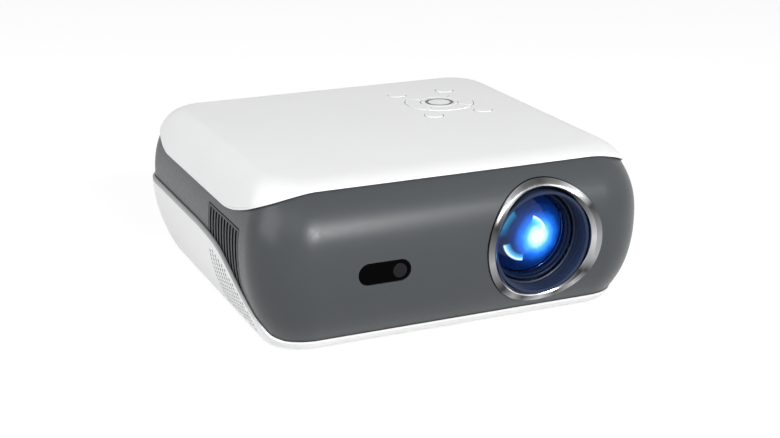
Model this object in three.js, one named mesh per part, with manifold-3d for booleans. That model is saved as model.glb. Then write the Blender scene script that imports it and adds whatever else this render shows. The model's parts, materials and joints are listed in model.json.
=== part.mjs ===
// A small table projector: white lid, dark middle band, white lower shell, chrome-ringed lens.
// Sizes are millimetres. +Z is up, the front faces -Y, and the origin lies under the middle of the feet.
import * as THREE from "three";
import { mergeVertices } from "three/addons/utils/BufferGeometryUtils.js";
import Module from "manifold-3d";

const wasm = await Module();
wasm.setup();

// Clearances and overruns
const gap = 0.3;
const overrun = 4;
const farReach = 300;

// Body. Its width, depth and height follow from what it holds, further down.
const footStand = 3;
const waistLift = 2.5;
const frontCornerRadius = 29.8;
const rearCornerRadius = 22.1;
const leastCornerRadius = 4;
const cornerShrinkShare = 0.8;
const bodyWall = 2.2;
const noseTopTuck = 16;
const noseBottomTuck = 17.6;
const sideTopTuck = 11.2;
const sideBottomTuck = 12.9;
const noseTopPower = 2.53;
const noseBottomPower = 2.65;
const sideTopPower = 2.46;
const sideBottomPower = 2.08;

// Lid
const lidRise = 3.2;
const seamDrop = 19;
const seamSetBack = 75.4;
const seamRun = 94.5;
const lidOverhang = 1.6;
const lidWall = 1.3;
const lidTopWall = 2;
const plateauSideInset = 19;
const plateauFrontInset = 32;
const plateauRearInset = 17.3;
const plateauRadius = 18;
const foldLeaveShare = 0.44;
const foldArriveShare = 0.93;
const foldDropShare = 0.39;
const lidRingShares = [1, 0.86, 0.68, 0.46, 0.24, 0];
const lidInnerRingShares = [0, 0.5, 1];

// Lower shell and its swept rim
const shellProud = 1.6;
const shellWall = 1.3;
const floorThickness = 2;
const rimDrop = 1.2;
const rimFrontHeight = 8.7;
const rimRun = 85;
const rimSetBack = 21;
const rimAlongShares = [0, 0.24, 0.42, 0.55, 0.68, 0.78, 0.87, 0.94, 0.975, 1.03];
const rimHeightShares = [1, 0.975, 0.92, 0.82, 0.67, 0.5, 0.34, 0.19, 0.06, 0];
const rimSteps = 18;
const rimLip = 3;

// Places along the outline and up the body at which its surface is drawn
const sideShares = [0, 0.4, 0.66, 0.82, 0.92];
const frontShares = [0, 0.25, 0.5, 0.75];
const rearShares = [0, 0.5];
const frontCornerSteps = 7;
const rearCornerSteps = 4;
const lowLevelShares = [0, 0.043, 0.13, 0.26, 0.45, 0.7, 0.974];
const highLevelShares = [0, 0.35, 0.68, 1];

// Lens opening: chrome ring, recess, tube, barrel and glass
const bezelRadius = 33.4;
const bezelBand = 5.4;
const bezelLift = 4.2;
const bezelHeadroom = 6;
const bezelDepth = 11;
const bezelProud = 1.6;
const bezelChamfer = 2.6;
const lensSteps = 30;
const funnelWall = 1.6;
const funnelEntry = 3;
const lensRecess = 15.5;
const barrelInset = 3.4;
const barrelLength = 58;
const barrelRoom = 10.8;
const barrelWall = 1.8;
const rimBead = 1.4;
const seatDepth = 11;
const rearBoreInset = 6;
const funnelRunning = 0.6;
const tubeWall = 2;
const tubeStandOff = 3.5;
const tubeFlange = 3.6;
const tubeFlangeThickness = 2;
const tubeSteps = 24;
const frontLensThickness = 6;
const frontLensCrown = 4;
const rearLensThickness = 5;
const rearLensCrown = 2.5;
const lensCurveSteps = 2;

// Focus train: ring gear on the tube, idler, thumb wheel, and the bracket with their pins
const ringGearRise = 3.8;
const ringGearTeeth = 60;
const wheelPitch = 8;
const wheelTeeth = 16;
const idlerTeeth = 22;
const toothDepth = 0.7;
const gearWidth = 8;
const gearSetBack = 28.5;
const wheelProud = 1.2;
const slotMargin = 0.5;
const slotHalfHeight = 7.5;
const pinRadius = 2;
const bracketThickness = 2;
const bracketMargin = 4;
const bracketStem = 8;
const gearSteps = 12;

// Remote-control window
const windowInset = 63.1;
const windowDrop = 1.8;
const windowWidth = 27.8;
const windowHeight = 11;
const windowSteps = 8;
const receiverBoardWidth = 20;
const receiverBoardHeight = 9;
const boardThickness = 1.6;
const receiverRadius = 3.6;
const receiverHeight = 2.4;
const receiverX = 8;

// Side vents in the dark band
const ventLength = 49.7;
const ventDrop = 3.1;
const ventSlots = 10;
const ventSlotShare = 0.42;
const ventFrame = 1.5;
const rightVentSetBack = 68;
const rightVentLength = 50;

// Hole field in the lower shell
const fieldSetBack = 30;
const fieldLength = 58;
const fieldBottom = 16;
const fieldPitch = 8;
const fieldHole = 3;
const fieldMargin = 5;

// Keys in the lid and the board below them
const keysInset = 60.8;
const keysSetBack = 71.4;
const okRadius = 11;
const okGrooveInner = 6.9;
const okGrooveOuter = 8.4;
const okGrooveDepth = 0.6;
const navRadius = 20;
const keyGap = 0.4;
const roundKeyRadius = 5.2;
const roundKeySpreadX = 15.7;
const roundKeySpreadY = 26;
const keyProud = 0.3;
const keyFlange = 1.3;
const keyFlangeThickness = 1.2;
const keyStemRadius = 2;
const keyStemLength = 1.8;
const keyClearance = 1;
const okFlangeDrop = 1;
const okFlange = 1.2;
const switchSize = 6;
const switchHeight = 1.6;
const keyBoardMargin = 5;
const keyBoardBoss = 2.5;
const keyArcSteps = 8;

// Light engine
const engineLength = 135.4;
const engineDepth = 85.7;
const engineRightRoom = 30;
const engineRearRoom = 42;
const lensFromEngineEnd = 36.7;
const engineBottom = 10;
const engineWall = 2;
const engineCoverThickness = 2;
const engineHeadroom = 0.9;
const panelThickness = 2;
const panelPitch = 9;
const panelHeadroom = 3.9;
const panelPlaceShare = 0.5888;
const mirrorLength = 70;
const mirrorThickness = 2;
const condenserInset = 4;
const condenserThickness = 5;
const condenserCrown = 5;

// Lamp board and heatsink
const ledBoardSize = 40;
const emitterSize = 12;
const emitterHeight = 1;
const heatsinkWidth = 62;
const heatsinkMargin = 4;
const heatsinkRoom = 18.4;
const heatsinkBase = 4;
const heatsinkDepth = 30;
const finThickness = 1.6;
const finCount = 8;

// Fans
const fanSize = 60;
const fanThickness = 15;
const fanBore = 28.4;
const fanHub = 13;
const fanBlades = 7;
const bladeChord = 13;
const bladeThickness = 1.4;
const bladeTilt = 0.65;
const bladeClearance = 1.2;
const fanStrutWidth = 3;
const fanStrutThickness = 2;
const fanMotorHeight = 4;
const fanPin = 1.5;
const fanSteps = 18;
const exhaustFanInset = 24.5;
const exhaustFanGap = 2.8;
const intakeFanInset = 20.5;
const fanBottom = 14;
const cradleLength = 12;
const cradleSpread = 20;

// Boards
const mainBoardSetBack = 18;
const mainBoardLeftMargin = 4;
const mainBoardRightMargin = 2;
const mainBoardBottom = 12;
const mainBoardTop = 68;
const railWidth = 6;
const railHeight = 14;
const railWall = 1.8;
const railInset = 22;
const chipSize = 16;
const chipHeight = 2.5;
const powerBoardClear = 9;
const powerBoardSetBack = 50;
const powerBoardLength = 50;
const powerBoardWidth = 46;
const powerBoardHeight = 10.3;
const coilSize = 18;
const capacitorRadius = 5;
const capacitorHeight = 16;
const bossRadius = 3.4;
const bossInset = 6;

// Rear port bay and its sockets
const bayMargin = 5.5;
const bayBottom = 18;
const bayTopDrop = 5.5;
const baySetBack = 8.8;
const bayWall = 1.8;
const socketZ = 28;
const hdmiInset = 20;
const hdmiWidth = 15.2;
const hdmiHeight = 6.4;
const usbStep = 24;
const usbWidth = 14.4;
const usbHeight = 7.2;
const avStep = 20;
const avSize = 8;
const avBore = 1.8;
const inletInset = 18;
const inletWidth = 19;
const inletHeight = 11;
const inletPin = 1.2;
const inletPinSpread = 4.3;
const inletPinLength = 7;
const socketWall = 0.6;
const inletWall = 2;
const socketSetBack = 6.6;
const tongueThickness = 1.2;
const tongueSetBack = 5.2;
const bayVentStep = 10;
const bayVentPitch = 3.2;
const bayVentCount = 4;
const bayVentWidth = 1.6;
const bayVentHeight = 12;

// Speakers
const speakerInset = 33;
const speakerZ = 30;
const speakerRadius = 13.5;
const speakerDepth = 9;
const speakerSetBack = 9;
const speakerMagnet = 8;
const speakerMagnetDepth = 4;
const speakerSlots = 5;
const speakerSlotPitch = 4;
const speakerSlotWidth = 1.8;
const speakerSlotHeight = 18;

// Feet, front adjuster, tripod insert and case screws
const footInset = 30;
const footFrontSetBack = 50;
const footRearSetBack = 24;
const footRadius = 7;
const footRecess = 1.2;
const footSteps = 16;
const dialSetBack = 34;
const dialRadius = 12;
const dialThickness = 4;
const dialNotches = 18;
const dialNotchDepth = 0.7;
const pocketWall = 1.6;
const pocketCeiling = 1.6;
const neckRadius = 6.4;
const collarRadius = 8;
const collarThickness = 1.5;
const studRadius = 4;
const studPadRadius = 8;
const studPadThickness = 2;
const studPadStand = 0.6;
const studTop = 26;
const tripodRoom = 14.3;
const tripodRadius = 6;
const tripodBore = 3.2;
const tripodHeight = 9;
const tripodBoss = 8.5;
const tripodSetBack = 0.2;
const screwBoardClear = 7;
const screwFrontInset = 28;
const screwFrontSetBack = 26;
const screwRearLeftInset = 26;
const screwRearRightInset = 22;
const screwRearSetBack = 30;
const screwHeadRadius = 3.2;
const screwHeadThickness = 2.2;
const screwShankRadius = 1.5;
const screwLength = 14;
const screwWellDepth = 5;
const screwBossTop = 12;
const screwBossWall = 2;
const postRadius = 4;
const screwSteps = 10;

// Values that follow from the sizes above

// The width holds the heatsink, the light engine and the intake fan side by side.
const heatsinkReach = heatsinkDepth + heatsinkBase + boardThickness + 2 * gap;
const bodyWidth = heatsinkRoom + heatsinkReach + engineLength + engineRightRoom;
const halfWidth = bodyWidth / 2;

// The depth holds the lens barrel, the light engine and the ports one behind another.
const bodyDepth = lensRecess + barrelLength + barrelRoom + engineDepth + engineRearRoom;
const halfDepth = bodyDepth / 2;

// The height holds the lens ring between the lower shell's rim and the lid.
const lensZ = rimFrontHeight + bezelLift + bezelRadius;
const seamFrontHeight = lensZ + bezelRadius + bezelHeadroom;
const seamSideHeight = seamFrontHeight - seamDrop;
const topHeight = seamFrontHeight + lidRise;
const waistHeight = (rimFrontHeight + seamFrontHeight) / 2 + waistLift;
const rimSideHeight = waistHeight - rimDrop;

const seamStart = halfDepth - seamSetBack;
const rimStart = rimRun + rimSetBack - halfDepth;
const plateauHalfWidth = halfWidth - plateauSideInset;
const plateauFront = halfDepth - plateauFrontInset;
const plateauRear = halfDepth - plateauRearInset;
const shellGrow = shellProud;
const shellInnerGrow = shellProud - shellWall;
const bezelBore = bezelRadius - bezelBand;
const barrelRadius = bezelBore - barrelInset;
const rearBoreRadius = barrelRadius - rearBoreInset;
const engineRight = halfWidth - engineRightRoom;
const engineLeft = engineRight - engineLength;
const engineRear = halfDepth - engineRearRoom;
const engineFront = engineRear - engineDepth;
const engineAxisY = (engineFront + engineRear) / 2;
const exhaustFanY = engineAxisY - heatsinkWidth / 2 - exhaustFanGap - fanSize / 2;
const ventFront = exhaustFanY - ventLength / 2;
const ventRear = ventFront + ventLength;
const lensX = engineRight - lensFromEngineEnd;
const windowX = windowInset - halfWidth;
const windowZ = lensZ - windowDrop;
const ventTop = seamSideHeight - ventDrop;
const rightVentFront = rightVentSetBack - halfDepth;
const rightVentRear = rightVentFront + rightVentLength;
const fieldFront = fieldSetBack - halfDepth;
const fieldRear = fieldFront + fieldLength;
const keysX = halfWidth - keysInset;
const keysY = halfDepth - keysSetBack;
const powerBoardX = -powerBoardClear - powerBoardLength / 2;
const powerBoardY = powerBoardSetBack - halfDepth;
const screwFrontLeftX = powerBoardX - powerBoardLength / 2 - screwBoardClear;
const screwFrontY = screwFrontSetBack - halfDepth;
const screwRearY = halfDepth - screwRearSetBack;
const screwPlaces = [
  [screwFrontLeftX, screwFrontY],
  [halfWidth - screwFrontInset, screwFrontY],
  [screwRearLeftInset - halfWidth, screwRearY],
  [halfWidth - screwRearRightInset, screwRearY],
];
const footX = halfWidth - footInset;
const footFrontY = footFrontSetBack - halfDepth;
const footRearY = halfDepth - footRearSetBack;
const dialY = dialSetBack - halfDepth;
const tripodY = engineFront - tripodRoom;
const speakerX = halfWidth - speakerInset;
const speakerFront = halfDepth - speakerSetBack;
const bayHalfWidth = speakerX - speakerRadius - bayMargin;
const bayTop = rimSideHeight - bayTopDrop;
const bayFloorY = halfDepth - baySetBack;
const socketMouth = halfDepth - socketSetBack;
const hdmiX = bayHalfWidth - hdmiInset;
const usbX = hdmiX - usbStep;
const avX = usbX - avStep;
const inletX = inletInset - bayHalfWidth;
const bayVentX = avX - bayVentStep;
const mainBoardY = halfDepth - mainBoardSetBack;
const mainBoardLeft = mainBoardLeftMargin - bayHalfWidth;
const mainBoardRight = bayHalfWidth - mainBoardRightMargin;
const railSpread = bayHalfWidth - railInset;
const exhaustFanX = exhaustFanInset - halfWidth;
const intakeFanX = halfWidth - intakeFanInset;
const condenserRadius = bezelBore - condenserInset;
const heatsinkHeight = 2 * (condenserRadius + heatsinkMargin);
const lidUnderside = topHeight - lidTopWall;
const keyCapDepth = keyProud + lidTopWall + gap;
const keyFlangeBottom = topHeight + keyProud - keyCapDepth - keyFlangeThickness;
const keyStemBottom = keyFlangeBottom - keyStemLength;
const keyBoardTop = keyStemBottom - keyClearance - switchHeight;
const engineCoverTop = keyBoardTop - boardThickness - engineHeadroom;
const engineTop = engineCoverTop - engineCoverThickness - gap;
const barrelFront = lensRecess - halfDepth;
const tubeBore = barrelRadius + gap;
const tubeRadius = tubeBore + tubeWall;
const tubeFront = barrelFront + tubeStandOff;
const tubeRear = engineFront - gap;
const ringGearPitch = tubeRadius + ringGearRise;
const gearFront = halfDepth - lensRecess - gearSetBack;
const wheelX = halfWidth + wheelProud - wheelPitch;
const wheelZ = (rimSideHeight + seamSideHeight) / 2;
const trainLength = Math.hypot(wheelX - lensX, wheelZ - lensZ);
const idlerPitch = (trainLength - ringGearPitch - wheelPitch) / 2;
const idlerReachShare = (ringGearPitch + idlerPitch) / trainLength;
const idlerX = lensX + (wheelX - lensX) * idlerReachShare;
const idlerZ = lensZ + (wheelZ - lensZ) * idlerReachShare;
const gearRear = gearWidth - gearFront;
const intakeFanY = (rightVentFront + rightVentRear) / 2;
const ledBoardX = engineLeft - gap - boardThickness;
const condenserAt = boardThickness + emitterHeight + gap;
const condenserReach = ledBoardX + condenserAt + condenserThickness - 2 * gap + condenserCrown;
const mirrorReach = ((mirrorLength + mirrorThickness) / 2) * Math.SQRT1_2;
const panelMiddleX = THREE.MathUtils.lerp(condenserReach, lensX - mirrorReach, panelPlaceShare);
const engineFloor = engineBottom + engineWall + gap;
const panelHeight = engineTop - engineFloor - panelHeadroom;

// Geometry helpers

// A closed manifold solid from a three.js geometry.
function solidOf(geometry) {
  const plain = geometry.clone();
  plain.deleteAttribute("normal");
  plain.deleteAttribute("uv");
  const merged = mergeVertices(plain, 1e-4);
  const positions = merged.attributes.position.array;
  const triangles = new Uint32Array(merged.index.array);
  return new wasm.Manifold(new wasm.Mesh({ numProp: 3, vertProperties: positions, triVerts: triangles }));
}

// A three.js geometry from a manifold solid.
function geometryOf(solid) {
  const mesh = solid.getMesh();
  const geometry = new THREE.BufferGeometry();
  const places = [];
  for (let k = 0; k < mesh.numVert; k += 1) {
    const at = k * mesh.numProp;
    places.push(mesh.vertProperties[at], mesh.vertProperties[at + 1], mesh.vertProperties[at + 2]);
  }
  geometry.setAttribute("position", new THREE.Float32BufferAttribute(places, 3));
  geometry.setIndex([...mesh.triVerts]);
  return geometry;
}

function block(low, high) {
  const size = high.map((value, axis) => value - low[axis]);
  const geometry = new THREE.BoxGeometry(...size);
  geometry.translate(...size.map((value, axis) => low[axis] + value / 2));
  return solidOf(geometry);
}

// Turns a shape's own axes so that it is drawn in one plane and pushed along the third axis.
const pushed = {
  x: new THREE.Matrix4().makeBasis(
    new THREE.Vector3(0, 1, 0),
    new THREE.Vector3(0, 0, 1),
    new THREE.Vector3(1, 0, 0),
  ),
  y: new THREE.Matrix4().makeBasis(
    new THREE.Vector3(-1, 0, 0),
    new THREE.Vector3(0, 0, 1),
    new THREE.Vector3(0, 1, 0),
  ),
  z: new THREE.Matrix4(),
};

// A shape's points, [across, up], pushed along an axis from one place to another.
function prism(points, axis, from, to) {
  const flip = axis === "y" ? -1 : 1;
  const shape = new THREE.Shape(points.map(([u, v]) => new THREE.Vector2(u * flip, v)));
  const geometry = new THREE.ExtrudeGeometry(shape, { depth: to - from, bevelEnabled: false });
  geometry.applyMatrix4(pushed[axis]);
  const shift = { x: [from, 0, 0], y: [0, from, 0], z: [0, 0, from] }[axis];
  geometry.translate(...shift);
  return solidOf(geometry);
}

function circle(u, v, radius, steps) {
  const points = [];
  for (let k = 0; k < steps; k += 1) {
    const angle = (k / steps) * 2 * Math.PI;
    points.push([u + radius * Math.cos(angle), v + radius * Math.sin(angle)]);
  }
  return points;
}

function rod(u, v, radius, axis, from, to, steps) {
  return prism(circle(u, v, radius, steps), axis, from, to);
}

function rectangle(left, bottom, right, top) {
  return [
    [left, bottom],
    [right, bottom],
    [right, top],
    [left, top],
  ];
}

// A profile of [radius, height] points turned round +Z.
function turned(profile, steps) {
  const points = profile.map(([radius, height]) => new THREE.Vector2(radius, height));
  const geometry = new THREE.LatheGeometry([...points, points[0]], steps);
  geometry.rotateX(Math.PI / 2);
  const made = solidOf(geometry);
  if (made.volume() > 0) {
    return made;
  }
  const reversed = new THREE.LatheGeometry([...points, points[0]].reverse(), steps);
  reversed.rotateX(Math.PI / 2);
  return solidOf(reversed);
}

function gearOutline(tipRadius, teeth, depth) {
  const points = [];
  const toothShares = [0, 0.5];
  for (let k = 0; k < teeth; k += 1) {
    toothShares.forEach((share, place) => {
      const radius = place === 0 ? tipRadius : tipRadius - depth;
      const angle = ((k + share) / teeth) * 2 * Math.PI;
      points.push([radius * Math.cos(angle), radius * Math.sin(angle)]);
    });
  }
  return points;
}

// Skins a list of rings of Vector3. Open ends are capped with a fan, and a closed list joins up.
function loft(rings, closed) {
  const count = rings[0].length;
  const points = rings.flat();
  const faces = [];
  const spans = closed ? rings.length : rings.length - 1;
  for (let ring = 0; ring < spans; ring += 1) {
    const above = (ring + 1) % rings.length;
    for (let k = 0; k < count; k += 1) {
      const next = (k + 1) % count;
      const a = ring * count + k;
      const b = ring * count + next;
      const c = above * count + next;
      const d = above * count + k;
      faces.push(a, b, c, a, c, d);
    }
  }
  if (!closed) {
    [0, rings.length - 1].forEach((ring) => {
      const middle = new THREE.Vector3();
      rings[ring].forEach((point) => middle.add(point));
      const centre = points.length;
      points.push(middle.divideScalar(count));
      for (let k = 0; k < count; k += 1) {
        const a = ring * count + k;
        const b = ring * count + ((k + 1) % count);
        faces.push(...(ring === 0 ? [b, a, centre] : [a, b, centre]));
      }
    });
  }
  const geometry = new THREE.BufferGeometry();
  geometry.setAttribute("position", new THREE.Float32BufferAttribute(points.flatMap((p) => p.toArray()), 3));
  geometry.setIndex(faces);
  return solidOf(geometry);
}

function joined(solids) {
  return solids.reduce((whole, solid) => whole.add(solid));
}

function cutBy(solid, cutters) {
  return cutters.reduce((whole, cutter) => whole.subtract(cutter), solid);
}

// The body's surface

function tuckAt(height, top, topPower, bottom, bottomPower) {
  if (height > waistHeight) {
    return top * ((height - waistHeight) / (seamFrontHeight - waistHeight)) ** topPower;
  }
  return bottom * ((waistHeight - height) / (waistHeight - footStand)) ** bottomPower;
}

// A rounded rectangle from the left side round the front, the right side and the rear.
function roundedLoop(halfX, front, rear, frontRadius, rearRadius) {
  const points = [];
  const line = (from, to, shares) => {
    shares.forEach((share) => {
      points.push(new THREE.Vector2().lerpVectors(from, to, share));
    });
  };
  const corner = (x, y, radius, start, steps) => {
    for (let k = 0; k < steps; k += 1) {
      const angle = start + (k / steps) * (Math.PI / 2);
      points.push(new THREE.Vector2(x + radius * Math.cos(angle), y + radius * Math.sin(angle)));
    }
  };
  const place = (x, y) => new THREE.Vector2(x, y);
  const frontX = halfX - frontRadius;
  const rearX = halfX - rearRadius;
  const frontY = frontRadius - front;
  const rearY = rear - rearRadius;
  const returnShares = [0, ...sideShares.slice(1).reverse().map((share) => 1 - share)];
  line(place(-halfX, rearY), place(-halfX, frontY), sideShares);
  corner(-frontX, frontY, frontRadius, Math.PI, frontCornerSteps);
  line(place(-frontX, -front), place(frontX, -front), frontShares);
  corner(frontX, frontY, frontRadius, 1.5 * Math.PI, frontCornerSteps);
  line(place(halfX, frontY), place(halfX, rearY), returnShares);
  corner(rearX, rearY, rearRadius, 0, rearCornerSteps);
  line(place(rearX, rear), place(-rearX, rear), rearShares);
  corner(-rearX, rearY, rearRadius, Math.PI / 2, rearCornerSteps);
  return points;
}

// The body's outline at a height, moved outwards by grow.
function bodyLoop(height, grow) {
  const nose = tuckAt(height, noseTopTuck, noseTopPower, noseBottomTuck, noseBottomPower) - grow;
  const side = tuckAt(height, sideTopTuck, sideTopPower, sideBottomTuck, sideBottomPower) - grow;
  const frontShrink = cornerShrinkShare * Math.min(nose, side);
  const frontRadius = Math.max(frontCornerRadius - frontShrink, leastCornerRadius);
  const rearRadius = Math.max(rearCornerRadius - cornerShrinkShare * side, leastCornerRadius);
  return roundedLoop(halfWidth - side, halfDepth - nose, halfDepth - side, frontRadius, rearRadius);
}

function levelRing(height, grow) {
  return bodyLoop(height, grow).map(({ x, y }) => new THREE.Vector3(x, y, height));
}

// A ring whose height differs from place to place.
function sweptRing(heights, grow) {
  return heights.map((height, place) => {
    const { x, y } = bodyLoop(height, grow)[place];
    return new THREE.Vector3(x, y, height);
  });
}

// How far a place on the waist lies towards the front, walked from the middle of the side.
function walked({ x, y }) {
  const cornerX = halfWidth - frontCornerRadius;
  const cornerY = halfDepth - frontCornerRadius;
  if (y > -cornerY) {
    return -y;
  }
  if (Math.abs(x) > cornerX) {
    return cornerY + frontCornerRadius * Math.atan2(-y - cornerY, Math.abs(x) - cornerX);
  }
  return cornerY + frontCornerRadius * (Math.PI / 2) + cornerX - Math.abs(x);
}

const seamHeights = bodyLoop(waistHeight, 0).map((place) => {
  const share = THREE.MathUtils.smoothstep(walked(place), seamStart, seamStart + seamRun);
  return THREE.MathUtils.lerp(seamSideHeight, seamFrontHeight, share);
});

// The rim's curve seen from the side, [y, z], from the side towards the front.
const rimCurve = new THREE.SplineCurve(
  rimAlongShares.map((share, k) => {
    const height = rimFrontHeight + (rimSideHeight - rimFrontHeight) * rimHeightShares[k];
    return new THREE.Vector2(rimStart - rimRun * share, height);
  }),
)
  .getPoints(rimSteps)
  .map(({ x, y }) => [x, y]);

function rimHeightAt(y) {
  for (let k = 1; k < rimCurve.length; k += 1) {
    const [y0, z0] = rimCurve[k - 1];
    const [y1, z1] = rimCurve[k];
    if (y <= y0 && y >= y1) {
      return z0 + ((z1 - z0) * (y - y0)) / (y1 - y0);
    }
  }
  return y > rimStart ? rimSideHeight : rimFrontHeight;
}

// The wall of the dark band between two distances outside its surface.
function bandWall(outer, inner) {
  const low = lowLevelShares.slice(1).map((share) => footStand + share * (waistHeight - footStand));
  const rings = (grow) => [
    ...low.map((height) => levelRing(height, grow)),
    ...highLevelShares.map((share) => {
      const heights = seamHeights.map((seam) => waistHeight + share * (seam - gap - waistHeight));
      return sweptRing(heights, grow);
    }),
  ];
  return loft([...rings(outer), ...rings(inner).reverse()], true);
}

// The band is cut below along the rim's curve, one lip lower than the rim.
function underRim() {
  const curve = rimCurve.map(([y, z]) => [y + rimLip, z - rimLip]);
  const last = curve[curve.length - 1];
  const points = [
    [farReach, curve[0][1]],
    ...curve,
    [-farReach, last[1]],
    [-farReach, -farReach],
    [farReach, -farReach],
  ];
  return prism(points, "x", -farReach, farReach);
}

function aboveRim() {
  const first = rimCurve[0];
  const last = rimCurve[rimCurve.length - 1];
  const points = [
    [first[0] + gap, first[1] + farReach],
    [first[0] + gap, first[1] + gap / 2],
    ...rimCurve,
    [-farReach, last[1]],
    [-farReach, first[1] + farReach],
  ];
  return prism(points, "x", -farReach, farReach);
}

// Vent inserts: the outline of the opening seen from the side, [y, z], and its slots.
function ventOutline(front, rear, inset) {
  const low = footStand + rimLip;
  return rectangle(front + inset, low, rear - inset, ventTop - inset);
}

function ventSlotPrisms(front, rear, from, to) {
  const pitch = (rear - front - 2 * ventFrame) / ventSlots;
  const slots = [];
  for (let k = 0; k < ventSlots; k += 1) {
    const middle = front + ventFrame + (k + 1 / 2) * pitch;
    const half = (pitch * ventSlotShare) / 2;
    const low = Math.max(rimHeightAt(middle - half), rimHeightAt(middle + half)) - rimLip / 2;
    const high = ventTop - ventFrame;
    slots.push(prism(rectangle(middle - half, low, middle + half, high), "x", from, to));
  }
  return slots;
}

const outwards = halfWidth + overrun;
const inwards = halfWidth / 2;
const leftSpan = [-outwards, -inwards];
const rightSpan = [inwards, outwards];

// Finishes
function finish(color, roughness, metalness = 0) {
  return new THREE.MeshStandardMaterial({ color, roughness, metalness });
}

const white = finish(0xe9eaec, 0.42);
const lowerWhite = finish(0xe6e7e9, 0.45);
const dark = finish(0x565a5d, 0.45);
const ventDark = finish(0x3c3f42, 0.55);
const chrome = finish(0xc9ccd0, 0.18, 1);
const navy = finish(0x1a2233, 0.35);
const glossBlack = finish(0x08090b, 0.08);
const black = finish(0x17181a, 0.5);
const glass = finish(0x5b8fd0, 0.05);
const board = finish(0x1f5a3a, 0.6);
const rubber = finish(0x2a2a2b, 0.9);
const alloy = finish(0xb6b9bc, 0.4, 1);
const brass = finish(0xb5964f, 0.35, 1);
const steel = finish(0x9a9da1, 0.3, 1);
const nylon = finish(0xd8d5cb, 0.5);

const projector = new THREE.Group();

function add(parent, name, solid, material, place = [0, 0, 0]) {
  const mesh = new THREE.Mesh(geometryOf(solid), material);
  mesh.name = name;
  mesh.position.set(...place);
  parent.add(mesh);
  return mesh;
}

// Lid

const plateau = (inset) =>
  roundedLoop(
    plateauHalfWidth - inset,
    plateauFront - inset,
    plateauRear - inset,
    plateauRadius - inset,
    plateauRadius - inset,
  );

function lidRing(share, overhang, inset, top) {
  const edge = sweptRing(seamHeights, overhang);
  const leave = 3 * (1 - share) ** 2 * share * foldLeaveShare;
  const arrive = 3 * (1 - share) * share ** 2;
  const out = leave + arrive * foldArriveShare + share ** 3;
  const down = arrive * foldDropShare + share ** 3;
  return plateau(inset).map((flat, k) => {
    const x = flat.x + (edge[k].x - flat.x) * out;
    const y = flat.y + (edge[k].y - flat.y) * out;
    return new THREE.Vector3(x, y, top + (edge[k].z - top) * down);
  });
}

const lidOuterRings = lidRingShares.map((share) => lidRing(share, lidOverhang, 0, topHeight));

function lidShell() {
  const inner = lidInnerRingShares.map((share) =>
    lidRing(share, lidOverhang - lidWall, lidWall, lidUnderside),
  );
  return loft([...inner, ...lidOuterRings], false);
}

// The lid's outer form filled to its edge, which trims what grows down from the lid.
function lidFilled() {
  const low = lidOuterRings[0].map((point) => new THREE.Vector3(point.x, point.y, footStand));
  return loft([low, ...lidOuterRings], false);
}

function keyPlaces() {
  const places = [];
  [1, -1].forEach((rear) => {
    [-1, 1].forEach((right) => {
      places.push([keysX + right * roundKeySpreadX, keysY + rear * roundKeySpreadY]);
    });
  });
  return places;
}

const keyBoardLow = [
  keysX - roundKeySpreadX - roundKeyRadius - keyBoardMargin,
  keysY - roundKeySpreadY - roundKeyRadius - keyBoardMargin,
];
const keyBoardHigh = [
  keysX + roundKeySpreadX + roundKeyRadius + keyBoardMargin,
  keysY + roundKeySpreadY + roundKeyRadius + keyBoardMargin,
];

function boardCorners(low, high, inset) {
  return [
    [low[0] + inset, low[1] + inset],
    [high[0] - inset, low[1] + inset],
    [low[0] + inset, high[1] - inset],
    [high[0] - inset, high[1] - inset],
  ];
}

function topCover() {
  const posts = screwPlaces.map(([x, y]) =>
    rod(x, y, postRadius, "z", screwBossTop + gap, topHeight, screwSteps),
  );
  const bosses = boardCorners(keyBoardLow, keyBoardHigh, keyBoardBoss).map(([x, y]) =>
    rod(x, y, keyBoardBoss, "z", keyBoardTop + gap, topHeight - lidTopWall / 2, screwSteps),
  );
  const grown = joined([...posts, ...bosses]).intersect(lidFilled());
  const keyHoles = keyPlaces().map(([x, y]) =>
    rod(x, y, roundKeyRadius + keyGap, "z", keyBoardTop, topHeight + overrun, footSteps),
  );
  const navHole = rod(keysX, keysY, navRadius + keyGap, "z", keyBoardTop, topHeight + overrun, lensSteps);
  const pilots = screwPlaces.map(([x, y]) =>
    rod(x, y, screwShankRadius + gap, "z", 0, screwBossTop + screwLength, screwSteps),
  );
  return cutBy(lidShell().add(grown), [...keyHoles, navHole, ...pilots]);
}

add(projector, "top_cover", topCover(), white);

// Middle band with its openings

const bezelHole = rod(lensX, lensZ, bezelRadius + gap, "y", -farReach, 0, lensSteps);

function pill(width, height) {
  const radius = height / 2;
  const points = [];
  [1, -1].forEach((side) => {
    for (let k = 0; k <= windowSteps; k += 1) {
      const angle = (side > 0 ? -Math.PI / 2 : Math.PI / 2) + (k / windowSteps) * Math.PI;
      const x = windowX + side * (width / 2 - radius) + radius * Math.cos(angle);
      points.push([x, windowZ + radius * Math.sin(angle)]);
    }
  });
  return prism(points, "y", -farReach, 0);
}

const wheelSlot = prism(
  rectangle(
    -gearFront - slotMargin,
    wheelZ - slotHalfHeight,
    gearRear + slotMargin,
    wheelZ + slotHalfHeight,
  ),
  "x",
  ...rightSpan,
);

function midShell() {
  const wall = bandWall(0, -bodyWall).subtract(underRim());
  return cutBy(wall, [
    bezelHole,
    pill(windowWidth + 2 * gap, windowHeight + 2 * gap),
    prism(ventOutline(ventFront, ventRear, 0), "x", ...leftSpan),
    prism(ventOutline(rightVentFront, rightVentRear, 0), "x", ...rightSpan),
    wheelSlot,
  ]);
}

function ventInsert(front, rear, span) {
  const wall = bandWall(0, -bodyWall).subtract(underRim());
  const piece = wall.intersect(prism(ventOutline(front, rear, gap), "x", ...span));
  return cutBy(piece, ventSlotPrisms(front, rear, ...span));
}

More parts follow.
